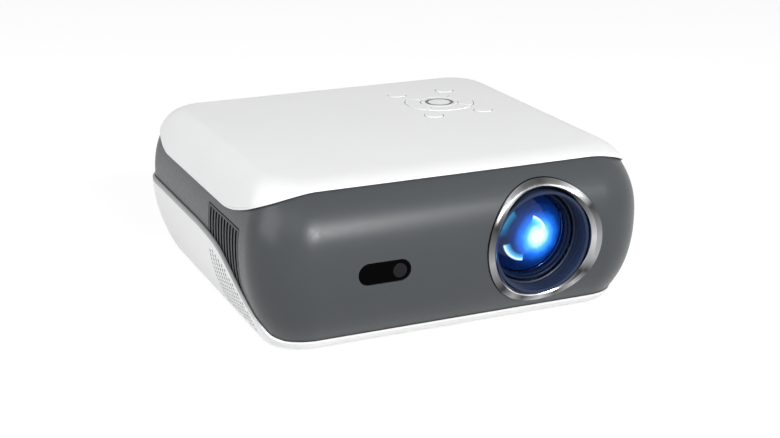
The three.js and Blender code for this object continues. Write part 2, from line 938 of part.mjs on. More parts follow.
add(projector, "mid_shell", midShell(), dark);
add(projector, "left_vent", ventInsert(ventFront, ventRear, leftSpan), ventDark);
add(projector, "right_vent", ventInsert(rightVentFront, rightVentRear, rightSpan), ventDark);

const windowPiece = bandWall(0, -bodyWall).intersect(pill(windowWidth, windowHeight));
add(projector, "ir_window", windowPiece, glossBlack);

// Lower shell

function shellTray() {
  const levels = lowLevelShares.map((share) => footStand + share * (waistHeight - footStand));
  const outer = levels.map((height) => levelRing(height, shellGrow));
  const inner = levels.slice(1).map((height) => levelRing(height, shellInnerGrow));
  return loft([...outer, ...inner.reverse()], false);
}

// The hole field follows the rim's curve at an even distance below it.
function holeField(span) {
  const holes = [];
  const columns = Math.floor((fieldRear - fieldFront) / fieldPitch);
  for (let column = 0; column <= columns; column += 1) {
    const y = fieldRear - column * fieldPitch;
    const ceiling = rimHeightAt(y) - fieldMargin;
    for (let row = 0; fieldBottom + row * fieldPitch < ceiling - fieldHole; row += 1) {
      const z = fieldBottom + row * fieldPitch + ((column % 2) * fieldPitch) / 2;
      if (z < ceiling) {
        holes.push(prism(circle(y, z, fieldHole / 2, 4), "x", ...span));
      }
    }
  }
  return holes;
}

function speakerSlotPrisms() {
  const slots = [];
  [-1, 1].forEach((side) => {
    for (let k = 0; k < speakerSlots; k += 1) {
      const x = side * speakerX + (k - (speakerSlots - 1) / 2) * speakerSlotPitch;
      const low = speakerZ - speakerSlotHeight / 2;
      const outline = rectangle(
        x - speakerSlotWidth / 2,
        low,
        x + speakerSlotWidth / 2,
        low + speakerSlotHeight,
      );
      slots.push(prism(outline, "y", halfDepth / 2 + speakerRadius, halfDepth + overrun));
    }
  });
  return slots;
}

const feetPlaces = [
  [-footX, footFrontY],
  [footX, footFrontY],
  [-footX, footRearY],
  [footX, footRearY],
];
const powerBoardLow = [powerBoardX - powerBoardLength / 2, powerBoardY - powerBoardWidth / 2];
const powerBoardHigh = [powerBoardX + powerBoardLength / 2, powerBoardY + powerBoardWidth / 2];
const floorLow = footStand + floorThickness / 2;
const dialPocketTop = footStand + dialThickness + 2 * gap;
const dialPocketRadius = dialRadius + 2 * gap;

function trayBosses() {
  const engineCorners = boardCorners([engineLeft, engineFront], [engineRight, engineRear], bossInset);
  const cradles = [exhaustFanX, intakeFanX].flatMap((x, k) => {
    const y = [exhaustFanY, intakeFanY][k];
    return [-1, 1].map((end) => {
      const middle = y + end * cradleSpread;
      return block(
        [x - fanThickness / 2, middle - cradleLength / 2, floorLow],
        [x + fanThickness / 2, middle + cradleLength / 2, fanBottom - gap],
      );
    });
  });
  const rails = [-1, 1].map((side) =>
    block(
      [side * railSpread - railWidth / 2, mainBoardY - gap - railWall, floorLow],
      [side * railSpread + railWidth / 2, mainBoardY + boardThickness + gap + railWall, railHeight],
    ).subtract(
      block(
        [-farReach, mainBoardY - gap, mainBoardBottom - gap],
        [farReach, mainBoardY + boardThickness + gap, farReach],
      ),
    ),
  );
  const speakerRests = [-1, 1].map((side) =>
    block(
      [side * speakerX - railWidth / 2, speakerFront - speakerDepth, floorLow],
      [side * speakerX + railWidth / 2, speakerFront - gap, speakerZ - speakerRadius - gap],
    ),
  );
  return joined([
    ...screwPlaces.map(([x, y]) =>
      rod(x, y, screwHeadRadius + 2 * gap + screwBossWall, "z", floorLow, screwBossTop, screwSteps),
    ),
    ...engineCorners.map(([x, y]) => rod(x, y, bossRadius, "z", floorLow, engineBottom - gap, screwSteps)),
    ...boardCorners(powerBoardLow, powerBoardHigh, bossInset).map(([x, y]) =>
      rod(x, y, bossRadius, "z", floorLow, powerBoardHeight - gap, screwSteps),
    ),
    ...cradles,
    ...rails,
    ...speakerRests,
    rod(0, tripodY, tripodBoss, "z", floorLow, tripodSetBack + footStand + tripodHeight, footSteps),
    rod(0, dialY, dialPocketRadius + pocketWall, "z", floorLow, dialPocketTop + pocketCeiling, footSteps),
    block(
      [idlerX - bracketStem / 2, gearRear + gap, floorLow],
      [idlerX + bracketStem / 2, gearRear + gap + bracketThickness, screwBossTop],
    ),
  ]);
}

function bottomShell() {
  const tray = shellTray().subtract(aboveRim()).add(trayBosses());
  return cutBy(tray, [
    ...holeField(leftSpan),
    ...holeField(rightSpan),
    ...speakerSlotPrisms(),
    prism(
      rectangle(-bayHalfWidth - gap, bayBottom - gap, bayHalfWidth + gap, bayTop + gap),
      "y",
      bayFloorY - overrun,
      farReach,
    ),
    ...feetPlaces.map(([x, y]) => rod(x, y, footRadius + gap, "z", 0, footStand + footRecess, footSteps)),
    ...screwPlaces.map(([x, y]) =>
      rod(x, y, screwHeadRadius + 2 * gap, "z", 0, footStand + screwWellDepth, screwSteps),
    ),
    ...screwPlaces.map(([x, y]) => rod(x, y, screwShankRadius + gap, "z", 0, farReach, screwSteps)),
    rod(0, tripodY, tripodRadius + gap, "z", 0, farReach, footSteps),
    rod(0, dialY, dialPocketRadius, "z", 0, dialPocketTop, footSteps),
    rod(0, dialY, neckRadius + gap, "z", 0, farReach, footSteps),
  ]);
}

add(projector, "bottom_shell", bottomShell(), lowerWhite);

// Port bay at the rear: a tray whose rim follows the lower shell.

function bodyFilled(grow) {
  const levels = lowLevelShares.map((share) => footStand + share * (waistHeight - footStand));
  return loft(
    levels.map((height) => levelRing(height, grow)),
    false,
  );
}

const sockets = [
  { x: hdmiX, width: hdmiWidth, height: hdmiHeight },
  { x: usbX, width: usbWidth, height: usbHeight },
  { x: avX, width: avSize, height: avSize },
  { x: inletX, width: inletWidth, height: inletHeight },
];

function rearPanel() {
  const outline = rectangle(-bayHalfWidth, bayBottom, bayHalfWidth, bayTop);
  const inside = rectangle(
    -bayHalfWidth + bayWall,
    bayBottom + bayWall,
    bayHalfWidth - bayWall,
    bayTop - bayWall,
  );
  const outer = prism(outline, "y", bayFloorY, farReach).intersect(bodyFilled(shellGrow - gap));
  const holes = sockets.map(({ x, width, height }) => {
    const half = width / 2 + gap;
    const rise = height / 2 + gap;
    return prism(rectangle(x - half, socketZ - rise, x + half, socketZ + rise), "y", 0, farReach);
  });
  const slots = [];
  for (let k = 0; k < bayVentCount; k += 1) {
    const x = bayVentX - k * bayVentPitch;
    const low = socketZ - bayVentHeight / 2;
    const slot = rectangle(x, low, x + bayVentWidth, low + bayVentHeight);
    slots.push(prism(slot, "y", 0, farReach));
  }
  return cutBy(outer, [prism(inside, "y", bayFloorY + bayWall, farReach), ...holes, ...slots]);
}

add(projector, "rear_panel", rearPanel(), black);

const socketRear = mainBoardY + boardThickness + gap;

function hollowSocket(width, height, wall) {
  const outer = block([-width / 2, 0, -height / 2], [width / 2, socketMouth - socketRear, height / 2]);
  const inner = block(
    [wall - width / 2, 2 * wall, wall - height / 2],
    [width / 2 - wall, farReach, height / 2 - wall],
  );
  return outer.subtract(inner);
}

function tongued(width, height) {
  const tongue = block(
    [-width / 4, socketWall, -tongueThickness / 2],
    [width / 4, socketMouth - socketRear - tongueSetBack, tongueThickness / 2],
  );
  return hollowSocket(width, height, socketWall).add(tongue);
}

function avSocket() {
  const length = socketMouth - socketRear;
  const body = block([-avSize / 2, 0, -avSize / 2], [avSize / 2, length, avSize / 2]);
  return body.subtract(rod(0, 0, avBore, "y", socketWall, length + overrun, screwSteps));
}

function powerInlet() {
  const pins = [-1, 1].map((side) =>
    rod(side * inletPinSpread, 0, inletPin, "y", inletWall, inletWall + inletPinLength, screwSteps),
  );
  return joined([hollowSocket(inletWidth, inletHeight, inletWall / 2), ...pins]);
}

const portGroup = new THREE.Group();
portGroup.position.set(0, socketRear, socketZ);
projector.add(portGroup);
add(portGroup, "hdmi_socket", tongued(hdmiWidth, hdmiHeight), steel, [hdmiX, 0, 0]);
add(portGroup, "usb_socket", tongued(usbWidth, usbHeight), steel, [usbX, 0, 0]);
add(portGroup, "av_socket", avSocket(), black, [avX, 0, 0]);
add(portGroup, "power_inlet", powerInlet(), black, [inletX, 0, 0]);

// Lens ring and recess

function lensBezel() {
  const band = rod(lensX, lensZ, bezelRadius, "y", -farReach, bezelDepth - halfDepth, lensSteps);
  const face = band.intersect(bodyFilledTall(bezelProud));
  const bore = rod(lensX, lensZ, bezelBore, "y", -farReach, 0, lensSteps);
  const front = -halfDepth - bezelProud;
  const flare = turned(
    [
      [0, front - overrun],
      [bezelBore + bezelChamfer + overrun, front - overrun],
      [bezelBore, front + bezelChamfer],
      [0, front + bezelChamfer],
    ],
    lensSteps,
  );
  const faced = flare.rotate([-90, 0, 0]).translate([lensX, 0, lensZ]);
  return cutBy(face, [bore, faced]);
}

// The body's outer form up to the seam, filled.
function bodyFilledTall(grow) {
  const low = lowLevelShares.map((share) => footStand + share * (waistHeight - footStand));
  const high = highLevelShares.map((share) => waistHeight + share * (seamFrontHeight - waistHeight));
  return loft(
    [...low, ...high].map((height) => levelRing(height, grow)),
    false,
  );
}

add(projector, "lens_bezel", lensBezel(), chrome);

const lensGroup = new THREE.Group();
lensGroup.position.set(lensX, 0, lensZ);
lensGroup.rotation.x = -Math.PI / 2;
projector.add(lensGroup);

// In the lens group the turned profiles run along +Z, which points to the rear.
function funnelPiece() {
  const entry = funnelEntry - halfDepth;
  const exit = barrelFront;
  const wide = bezelBore - gap;
  const tight = barrelRadius + funnelRunning;
  return turned(
    [
      [wide - funnelWall, entry],
      [wide, entry],
      [wide, bezelDepth - halfDepth],
      [tight + funnelWall, exit],
      [tight, exit],
    ],
    lensSteps,
  );
}

function lensTube() {
  return turned(
    [
      [tubeBore, tubeFront],
      [tubeRadius, tubeFront],
      [tubeRadius, tubeRear - tubeFlangeThickness],
      [tubeRadius + tubeFlange, tubeRear - tubeFlangeThickness],
      [tubeRadius + tubeFlange, tubeRear],
      [tubeBore, tubeRear],
    ],
    tubeSteps,
  );
}

function lensBarrel() {
  const seat = barrelFront + seatDepth;
  const bore = barrelRadius - barrelWall;
  return turned(
    [
      [bore - rimBead / 2, barrelFront + rimBead],
      [bore, barrelFront],
      [barrelRadius, barrelFront],
      [barrelRadius, barrelFront + barrelLength],
      [rearBoreRadius, barrelFront + barrelLength],
      [rearBoreRadius, seat],
      [bore - rimBead / 2, seat],
    ],
    tubeSteps,
  );
}

// A convex glass disc: both faces are arcs of the given crown.
function glassDisc(radius, thickness, frontCrown, rearCrown, at) {
  const profile = [];
  for (let k = 0; k <= lensCurveSteps; k += 1) {
    const share = k / lensCurveSteps;
    profile.push([radius * share, at - frontCrown * (1 - share ** 2)]);
  }
  for (let k = lensCurveSteps; k >= 0; k -= 1) {
    const share = k / lensCurveSteps;
    profile.push([radius * share, at + thickness - 2 * gap + rearCrown * (1 - share ** 2)]);
  }
  return turned(profile, tubeSteps);
}

add(lensGroup, "lens_funnel", funnelPiece(), navy);
add(lensGroup, "lens_tube", lensTube(), black);
add(lensGroup, "lens_barrel", lensBarrel(), black);
const frontLensRadius = barrelRadius - barrelWall - rimBead / 2 - gap;
const frontLensAt = barrelFront + seatDepth - frontLensThickness + gap;
const frontLens = glassDisc(frontLensRadius, frontLensThickness, frontLensCrown, 0, frontLensAt);
add(lensGroup, "front_lens", frontLens, glass);
const rearLensAt = barrelFront + barrelLength - rearLensThickness - rearLensCrown;
const rearLens = glassDisc(rearBoreRadius - gap, rearLensThickness, rearLensCrown, rearLensCrown, rearLensAt);
add(lensGroup, "rear_lens", rearLens, glass);

// Focus train

function gear(tipRadius, teeth, bore) {
  const disc = prism(gearOutline(tipRadius, teeth, toothDepth), "z", 0, gearWidth);
  return disc.subtract(rod(0, 0, bore, "z", -overrun, gearWidth + overrun, gearSteps));
}

const ringOutline = gearOutline(ringGearPitch - gap / 2, ringGearTeeth, toothDepth);
const ringGear = prism(ringOutline, "z", 0, gearWidth).subtract(
  rod(0, 0, tubeRadius + gap, "z", -overrun, gearWidth + overrun, tubeSteps),
);
add(lensGroup, "focus_ring", ringGear, nylon, [0, 0, -gearFront]);
const idlerGear = gear(idlerPitch - gap / 2, idlerTeeth, pinRadius + gap);
add(lensGroup, "idler_gear", idlerGear, nylon, [idlerX - lensX, lensZ - idlerZ, -gearFront]);
const thumbWheel = gear(wheelPitch - gap / 2, wheelTeeth, pinRadius + gap);
add(lensGroup, "focus_wheel", thumbWheel, black, [wheelX - lensX, lensZ - wheelZ, -gearFront]);

function focusBracket() {
  const back = gearRear + gap;
  const plate = block(
    [idlerX - bracketMargin, back, idlerZ - bracketMargin],
    [wheelX + bracketMargin / 2, back + bracketThickness, wheelZ + bracketMargin],
  );
  const stem = block(
    [idlerX - bracketStem / 2, back, screwBossTop + gap],
    [idlerX + bracketStem / 2, back + bracketThickness, idlerZ],
  );
  const pins = [
    [idlerX, idlerZ],
    [wheelX, wheelZ],
  ].map(([x, z]) => rod(x, z, pinRadius, "y", -gearFront - gap, back + bracketThickness, gearSteps));
  return joined([plate, stem, ...pins]);
}

add(projector, "focus_bracket", focusBracket(), steel);

// Remote-control receiver behind its window

function receiverBoard() {
  const plate = block(
    [-receiverBoardWidth / 2, 0, -receiverBoardHeight / 2],
    [receiverBoardWidth / 2, boardThickness, receiverBoardHeight / 2],
  );
  return plate.add(rod(receiverX, 0, receiverRadius, "y", -receiverHeight, boardThickness / 2, screwSteps));
}

const receiverY = bodyWall + 2 * gap + receiverHeight - halfDepth;
add(projector, "ir_board", receiverBoard(), board, [windowX, receiverY, windowZ]);

// Keys: each cap fills its hole, its flange keeps it under the lid, and its stem meets a switch

const keyGroup = new THREE.Group();
keyGroup.position.set(keysX, keysY, topHeight + keyProud);
projector.add(keyGroup);

function okKey() {
  const flangeTop = -keyCapDepth - keyFlangeThickness - okFlangeDrop;
  const flangeBottom = -keyCapDepth - keyFlangeThickness - keyStemLength;
  const cap = rod(0, 0, okRadius, "z", flangeTop, 0, tubeSteps);
  const flange = rod(0, 0, okRadius + okFlange, "z", flangeBottom, flangeTop, tubeSteps);
  const groove = rod(0, 0, okGrooveOuter, "z", -okGrooveDepth, overrun, tubeSteps).subtract(
    rod(0, 0, okGrooveInner, "z", -overrun, 2 * overrun, tubeSteps),
  );
  return joined([cap, flange]).subtract(groove);
}

// A quarter of the ring, centred on an angle, with half a key gap off each end.
function quarterOutline(inner, outer, middle) {
  const points = [];
  const arc = (radius, from, to) => {
    for (let k = 0; k <= keyArcSteps; k += 1) {
      const angle = from + ((to - from) * k) / keyArcSteps;
      points.push([radius * Math.cos(angle), radius * Math.sin(angle)]);
    }
  };
  const spread = (radius) => Math.PI / 4 - keyGap / 2 / radius;
  arc(outer, middle - spread(outer), middle + spread(outer));
  arc(inner, middle + spread(inner), middle - spread(inner));
  return points;
}

function navKey(middle) {
  const inner = okRadius + keyGap;
  const cap = prism(quarterOutline(inner, navRadius, middle), "z", -keyCapDepth, 0);
  const flange = prism(
    quarterOutline(inner, navRadius + keyFlange + keyGap, middle),
    "z",
    -keyCapDepth - keyFlangeThickness,
    -keyCapDepth,
  );
  const reach = (okRadius + navRadius) / 2 + keyGap;
  const stem = rod(
    reach * Math.cos(middle),
    reach * Math.sin(middle),
    keyStemRadius,
    "z",
    -keyCapDepth - keyFlangeThickness - keyStemLength,
    -keyCapDepth,
    screwSteps,
  );
  return joined([cap, flange, stem]);
}

function roundKey() {
  const foot = -keyCapDepth - keyFlangeThickness;
  return joined([
    rod(0, 0, roundKeyRadius, "z", -keyCapDepth, 0, footSteps),
    rod(0, 0, roundKeyRadius + keyFlange + keyGap, "z", foot, -keyCapDepth, footSteps),
    rod(0, 0, keyStemRadius, "z", foot - keyStemLength, -keyCapDepth, screwSteps),
  ]);
}

add(keyGroup, "ok_key", okKey(), white);
["right", "rear", "left", "front"].forEach((side, k) => {
  add(keyGroup, `nav_key_${side}`, navKey((k * Math.PI) / 2), white);
});
keyPlaces().forEach(([x, y], k) => {
  add(keyGroup, `round_key_${k + 1}`, roundKey(), white, [x - keysX, y - keysY, 0]);
});

function keyBoard() {
  const plate = block([...keyBoardLow, keyBoardTop - boardThickness], [...keyBoardHigh, keyBoardTop]);
  const reach = (okRadius + navRadius) / 2 + keyGap;
  const switchPlaces = [
    [keysX, keysY],
    [keysX + reach, keysY],
    [keysX - reach, keysY],
    [keysX, keysY + reach],
    [keysX, keysY - reach],
    ...keyPlaces(),
  ];
  const switches = switchPlaces.map(([x, y]) =>
    block(
      [x - switchSize / 2, y - switchSize / 2, keyBoardTop - boardThickness / 2],
      [x + switchSize / 2, y + switchSize / 2, keyBoardTop + switchHeight],
    ),
  );
  return joined([plate, ...switches]);
}

add(projector, "key_board", keyBoard(), board);

// Light engine

function engineTray() {
  const outer = block([engineLeft, engineFront, engineBottom], [engineRight, engineRear, engineTop]);
  const inner = block(
    [engineLeft + engineWall, engineFront + engineWall, engineBottom + engineWall],
    [engineRight - engineWall, engineRear - engineWall, farReach],
  );
  const lampHole = rod(engineAxisY, lensZ, condenserRadius + gap, "x", engineLeft - overrun, 0, tubeSteps);
  const lensHole = rod(lensX, lensZ, tubeBore, "y", engineFront - overrun, 0, tubeSteps);
  return cutBy(outer, [inner, lampHole, lensHole]);
}

const engineCover = block(
  [engineLeft, engineFront, engineTop + gap],
  [engineRight, engineRear, engineCoverTop],
);

add(projector, "engine_tray", engineTray(), black);
add(projector, "engine_cover", engineCover, black);

function enginePanel(x) {
  return block(
    [x - panelThickness / 2, engineFront + engineWall + gap, engineFloor],
    [x + panelThickness / 2, engineRear - engineWall - gap, engineFloor + panelHeight],
  );
}

add(projector, "fresnel_rear", enginePanel(panelMiddleX - panelPitch), glass);
add(projector, "lcd_panel", enginePanel(panelMiddleX), glossBlack);
add(projector, "fresnel_front", enginePanel(panelMiddleX + panelPitch), glass);

const foldMirror = block(
  [-mirrorLength / 2, -mirrorThickness / 2, 0],
  [mirrorLength / 2, mirrorThickness / 2, panelHeight],
);
const mirrorMesh = add(projector, "fold_mirror", foldMirror, chrome, [lensX, engineAxisY, engineFloor]);
mirrorMesh.rotation.z = -Math.PI / 4;

const lampGroup = new THREE.Group();
lampGroup.position.set(ledBoardX, engineAxisY, lensZ);
lampGroup.rotation.y = Math.PI / 2;
projector.add(lampGroup);

// In the lamp group +Z points along the light, away from the lamp board's rear face.
const condenser = glassDisc(condenserRadius, condenserThickness, 0, condenserCrown, condenserAt);
add(lampGroup, "condenser_lens", condenser, glass);

function lampBoard() {
  const half = ledBoardSize / 2;
  const plate = block([-half, -half, 0], [half, half, boardThickness]);
  const emitter = block(
    [-emitterSize / 2, -emitterSize / 2, boardThickness / 2],
    [emitterSize / 2, emitterSize / 2, boardThickness + emitterHeight],
  );
  return plate.add(emitter);
}

function heatsink() {
  const base = block(
    [-heatsinkHeight / 2, -heatsinkWidth / 2, -heatsinkBase],
    [heatsinkHeight / 2, heatsinkWidth / 2, 0],
  );
  const pitch = (heatsinkHeight - finThickness) / (finCount - 1);
  const fins = [];
  for (let k = 0; k < finCount; k += 1) {
    const low = k * pitch - heatsinkHeight / 2;
    fins.push(
      block(
        [low, -heatsinkWidth / 2, -heatsinkBase - heatsinkDepth],
        [low + finThickness, heatsinkWidth / 2, -heatsinkBase / 2],
      ),
    );
  }
  return joined([base, ...fins]);
}

add(lampGroup, "led_board", lampBoard(), alloy);
add(lampGroup, "heatsink", heatsink(), alloy, [0, 0, -gap]);

// Fans: the frame carries the motor and its pin, and the rotor turns on the pin

function fanFrame() {
  const half = fanSize / 2;
  const shell = block([-half, -half, 0], [half, half, fanThickness]);
  const bore = rod(0, 0, fanBore, "z", -overrun, fanThickness + overrun, fanSteps);
  const reach = fanBore + gap;
  const strut = block(
    [-reach, -fanStrutWidth / 2, 0],
    [reach, fanStrutWidth / 2, fanStrutThickness],
  );
  return joined([
    shell.subtract(bore),
    strut,
    strut.rotate([0, 0, 90]),
    rod(0, 0, fanHub, "z", 0, fanMotorHeight, fanSteps),
    rod(0, 0, fanPin, "z", 0, fanThickness - 2 * gap, gearSteps),
  ]);
}

function fanRotor() {
  const low = fanMotorHeight + gap;
  const high = fanThickness - 2 * gap;
  const inner = fanHub / 2;
  const length = fanBore - bladeClearance - inner;
  const blade = block(
    [-length / 2, -bladeChord / 2, -bladeThickness / 2],
    [length / 2, bladeChord / 2, bladeThickness / 2],
  )
    .rotate([THREE.MathUtils.radToDeg(bladeTilt), 0, 0])
    .translate([inner + length / 2, 0, (low + high) / 2]);
  const blades = [];
  for (let k = 0; k < fanBlades; k += 1) {
    blades.push(blade.rotate([0, 0, (k * 360) / fanBlades]));
  }
  const hub = rod(0, 0, fanHub, "z", low, high, fanSteps);
  return joined([hub, ...blades]).subtract(rod(0, 0, fanPin + gap, "z", 0, fanThickness, gearSteps));
}

function addFan(name, x, y, turn) {
  const group = new THREE.Group();
  group.position.set(x - (turn * fanThickness) / 2, y, fanBottom + fanSize / 2);
  group.rotation.y = (turn * Math.PI) / 2;
  projector.add(group);
  add(group, `${name}_fan_frame`, fanFrame(), black);
  add(group, `${name}_fan_rotor`, fanRotor(), black);
}

addFan("exhaust", exhaustFanX, exhaustFanY, -1);
addFan("intake", intakeFanX, intakeFanY, 1);

// Boards on the floor and behind the ports

function mainBoard() {
  const plate = block(
    [mainBoardLeft, mainBoardY, mainBoardBottom],
    [mainBoardRight, mainBoardY + boardThickness, mainBoardTop],
  );
  const middle = (mainBoardBottom + mainBoardTop) / 2;
  const chips = [-1, 0, 1].map((place) =>
    block(
      [place * railSpread - chipSize / 2, mainBoardY - chipHeight, middle],
      [place * railSpread + chipSize / 2, mainBoardY + boardThickness / 2, middle + chipSize],
    ),
  );
  return joined([plate, ...chips]);
}

function powerBoard() {
  const top = powerBoardHeight + boardThickness;
  const plate = block([...powerBoardLow, powerBoardHeight], [...powerBoardHigh, top]);
  const coil = block(
    [powerBoardX - coilSize, powerBoardY - coilSize / 2, powerBoardHeight],
    [powerBoardX, powerBoardY + coilSize / 2, top + coilSize],
  );
  const capacitors = [-1, 1].map((side) =>
    rod(
      powerBoardX + coilSize - capacitorRadius,
      powerBoardY + side * coilSize / 2,
      capacitorRadius,
      "z",
      powerBoardHeight,
      top + capacitorHeight,
      screwSteps,
    ),
  );
  return joined([plate, coil, ...capacitors]);
}

add(projector, "main_board", mainBoard(), board);
add(projector, "power_board", powerBoard(), board);

function speaker() {
  return turned(
    [
      [0, -speakerDepth - speakerMagnetDepth],
      [speakerMagnet, -speakerDepth - speakerMagnetDepth],
      [speakerMagnet, -speakerDepth],
      [speakerRadius, -speakerDepth / 2],
      [speakerRadius, 0],
      [0, 0],
    ],
    fanSteps,
  );
}

const speakerGroup = new THREE.Group();
speakerGroup.position.set(0, speakerFront, speakerZ);
speakerGroup.rotation.x = -Math.PI / 2;
projector.add(speakerGroup);
add(speakerGroup, "speaker_left", speaker(), black, [-speakerX, 0, 0]);
add(speakerGroup, "speaker_right", speaker(), black, [speakerX, 0, 0]);

// Feet, front adjuster, tripod insert and case screws

const foot = turned(
  [
    [0, 0],
    [footRadius - gap, 0],
    [footRadius, 2 * gap],
    [footRadius, footStand + footRecess - gap],
    [0, footStand + footRecess - gap],
  ],
  footSteps,
);
feetPlaces.forEach(([x, y], k) => {
  add(projector, `foot_${k + 1}`, foot, rubber, [x, y, 0]);
});

const adjusterGroup = new THREE.Group();
adjusterGroup.position.set(0, dialY, 0);
projector.add(adjusterGroup);

function tiltDial() {
  const low = footStand + gap;
  const top = low + dialThickness;
  const neckTop = dialPocketTop + pocketCeiling + gap;
  const whole = joined([
    prism(gearOutline(dialRadius, dialNotches, dialNotchDepth), "z", low, top),
    rod(0, 0, neckRadius, "z", top - gap, neckTop, footSteps),
    rod(0, 0, collarRadius, "z", neckTop, neckTop + collarThickness, footSteps),
  ]);
  return whole.subtract(rod(0, 0, studRadius + gap, "z", 0, farReach, gearSteps));
}

const tiltStud = rod(0, 0, studPadRadius, "z", studPadStand, studPadStand + studPadThickness, footSteps).add(
  rod(0, 0, studRadius, "z", studPadStand, studTop, gearSteps),
);
add(adjusterGroup, "tilt_dial", tiltDial(), black);
add(adjusterGroup, "tilt_stud", tiltStud, steel);

const tripodInsert = rod(0, 0, tripodRadius, "z", 0, tripodHeight, footSteps).subtract(
  rod(0, 0, tripodBore, "z", -overrun, tripodHeight + overrun, gearSteps),
);
add(projector, "tripod_insert", tripodInsert, brass, [0, tripodY, footStand + tripodSetBack]);

function caseScrew() {
  const cross = [0, 90].map((angle) =>
    block(
      [-screwHeadRadius / 2, -gap, -overrun],
      [screwHeadRadius / 2, gap, screwHeadThickness / 2],
    ).rotate([0, 0, angle]),
  );
  const whole = rod(0, 0, screwHeadRadius, "z", 0, screwHeadThickness, screwSteps).add(
    rod(0, 0, screwShankRadius, "z", 0, screwHeadThickness + screwLength, screwSteps),
  );
  return cutBy(whole, cross);
}

const screwAt = footStand + screwWellDepth - gap - screwHeadThickness;
screwPlaces.forEach(([x, y], k) => {
  add(projector, `case_screw_${k + 1}`, caseScrew(), steel, [x, y, screwAt]);
});

export default projector;
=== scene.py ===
"""A small table projector: its shells, lens, keys, vents and finishes, round its packed construction."""

import json
import math

import bpy
import numpy as np
from bpy.props import FloatProperty, FloatVectorProperty, IntProperty, PointerProperty
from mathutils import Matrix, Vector
from mathutils.bvhtree import BVHTree
from mathutils.interpolate import poly_3d_calc


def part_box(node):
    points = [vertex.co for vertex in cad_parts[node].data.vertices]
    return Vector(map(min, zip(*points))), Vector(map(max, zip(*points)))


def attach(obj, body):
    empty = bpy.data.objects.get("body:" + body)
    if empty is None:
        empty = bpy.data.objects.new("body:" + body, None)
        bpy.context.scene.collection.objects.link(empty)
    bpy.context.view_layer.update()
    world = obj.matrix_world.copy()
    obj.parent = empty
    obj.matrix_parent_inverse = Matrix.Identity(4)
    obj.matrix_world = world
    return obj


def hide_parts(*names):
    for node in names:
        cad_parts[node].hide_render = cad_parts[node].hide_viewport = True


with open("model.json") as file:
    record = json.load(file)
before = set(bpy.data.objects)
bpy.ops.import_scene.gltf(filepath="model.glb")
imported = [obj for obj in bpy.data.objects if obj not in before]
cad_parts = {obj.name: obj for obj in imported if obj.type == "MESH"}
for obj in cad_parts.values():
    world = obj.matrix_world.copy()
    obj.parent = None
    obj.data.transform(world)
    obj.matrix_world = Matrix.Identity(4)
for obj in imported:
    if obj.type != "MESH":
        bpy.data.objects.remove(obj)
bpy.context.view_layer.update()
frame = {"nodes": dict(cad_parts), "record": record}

bl_info = {
    "name": "Table projector",
    "version": (1, 0, 0),
    "blender": (4, 5, 0),
    "location": "View3D > Sidebar > Projector",
    "description": "Builds a small table projector's shells, lens, keys, vents and finishes",
    "category": "Object",
}

MM = 0.001
QUARTER = math.pi / 2
FULL_TURN = 2 * math.pi

# The case's four corners in turn: on which side each lies, and whether it is a front one
CORNER_SIDE = np.array([-1.0, 1.0, 1.0, -1.0])
CORNER_IS_FRONT = np.array([True, True, False, False])

# A reach beyond the whole case, the play between fitted pieces, and the points along a rounded edge
FAR = 0.3
GAP = 0.3 * MM
ROUND_STEPS = 5

# Keeps the finishes' names apart from those of the frame's own materials
FINISH_ENDING = "_finish"


def length(name, description, millimetres):
    return FloatProperty(
        name=name, description=description, default=millimetres * MM, unit="LENGTH", precision=5
    )


def share(name, description, default):
    return FloatProperty(name=name, description=description, default=default, precision=3)


def colour(name, description, default):
    return FloatVectorProperty(
        name=name, description=description, default=default, subtype="COLOR", size=3, min=0, max=1
    )


# Sizes and colours that a user can change


class CaseSizes(bpy.types.PropertyGroup):
    """The case's rounded form"""

    waist_height: length("Waist height", "Height at which the case is widest", 49.7)
    seam_front_height: length("Front seam", "Height of the lid's edge along the front", 85.7)
    seam_side_height: length("Side seam", "Height of the lid's edge along the sides", 68.5)
    seam_start: length("Seam start", "Way forwards along the side at which the seam starts to rise", 40)
    seam_run: length("Seam run", "Length over which the seam rises to the front", 85)
    seam_rear_start: length("Rear seam start", "Way back along the side at which the seam starts to rise", 59)
    seam_rear_run: length("Rear seam run", "Length over which the seam rises to the rear", 62)
    front_corner: length("Front corner", "Radius of the front corners at the waist", 29.8)
    rear_corner: length("Rear corner", "Radius of the rear corners at the waist", 22.1)
    least_corner: length("Least corner", "Smallest corner radius above and below the waist", 4)
    corner_shrink: share("Corner shrink", "How much of the tuck comes off the corner radius", 0.8)
    nose_top_tuck: length("Nose top tuck", "How far the front leans in at the seam", 16)
    nose_bottom_tuck: length("Nose bottom tuck", "How far the front leans in at the floor", 17.6)
    side_top_tuck: length("Side top tuck", "How far the sides lean in at the front seam", 11.2)
    side_bottom_tuck: length("Side bottom tuck", "How far the sides lean in at the floor", 12.9)
    nose_top_power: share("Nose top curve", "Power of the front's curve above the waist", 2.53)
    nose_bottom_power: share("Nose bottom curve", "Power of the front's curve below the waist", 2.65)
    side_top_power: share("Side top curve", "Power of the sides' curve above the waist", 2.46)
    side_bottom_power: share("Side bottom curve", "Power of the sides' curve below the waist", 2.08)
    band_wall: length("Band wall", "Thickness of the dark band", 2.2)
    band_lip: length("Band lip", "How far the band runs on behind the lower shell's rim", 3)


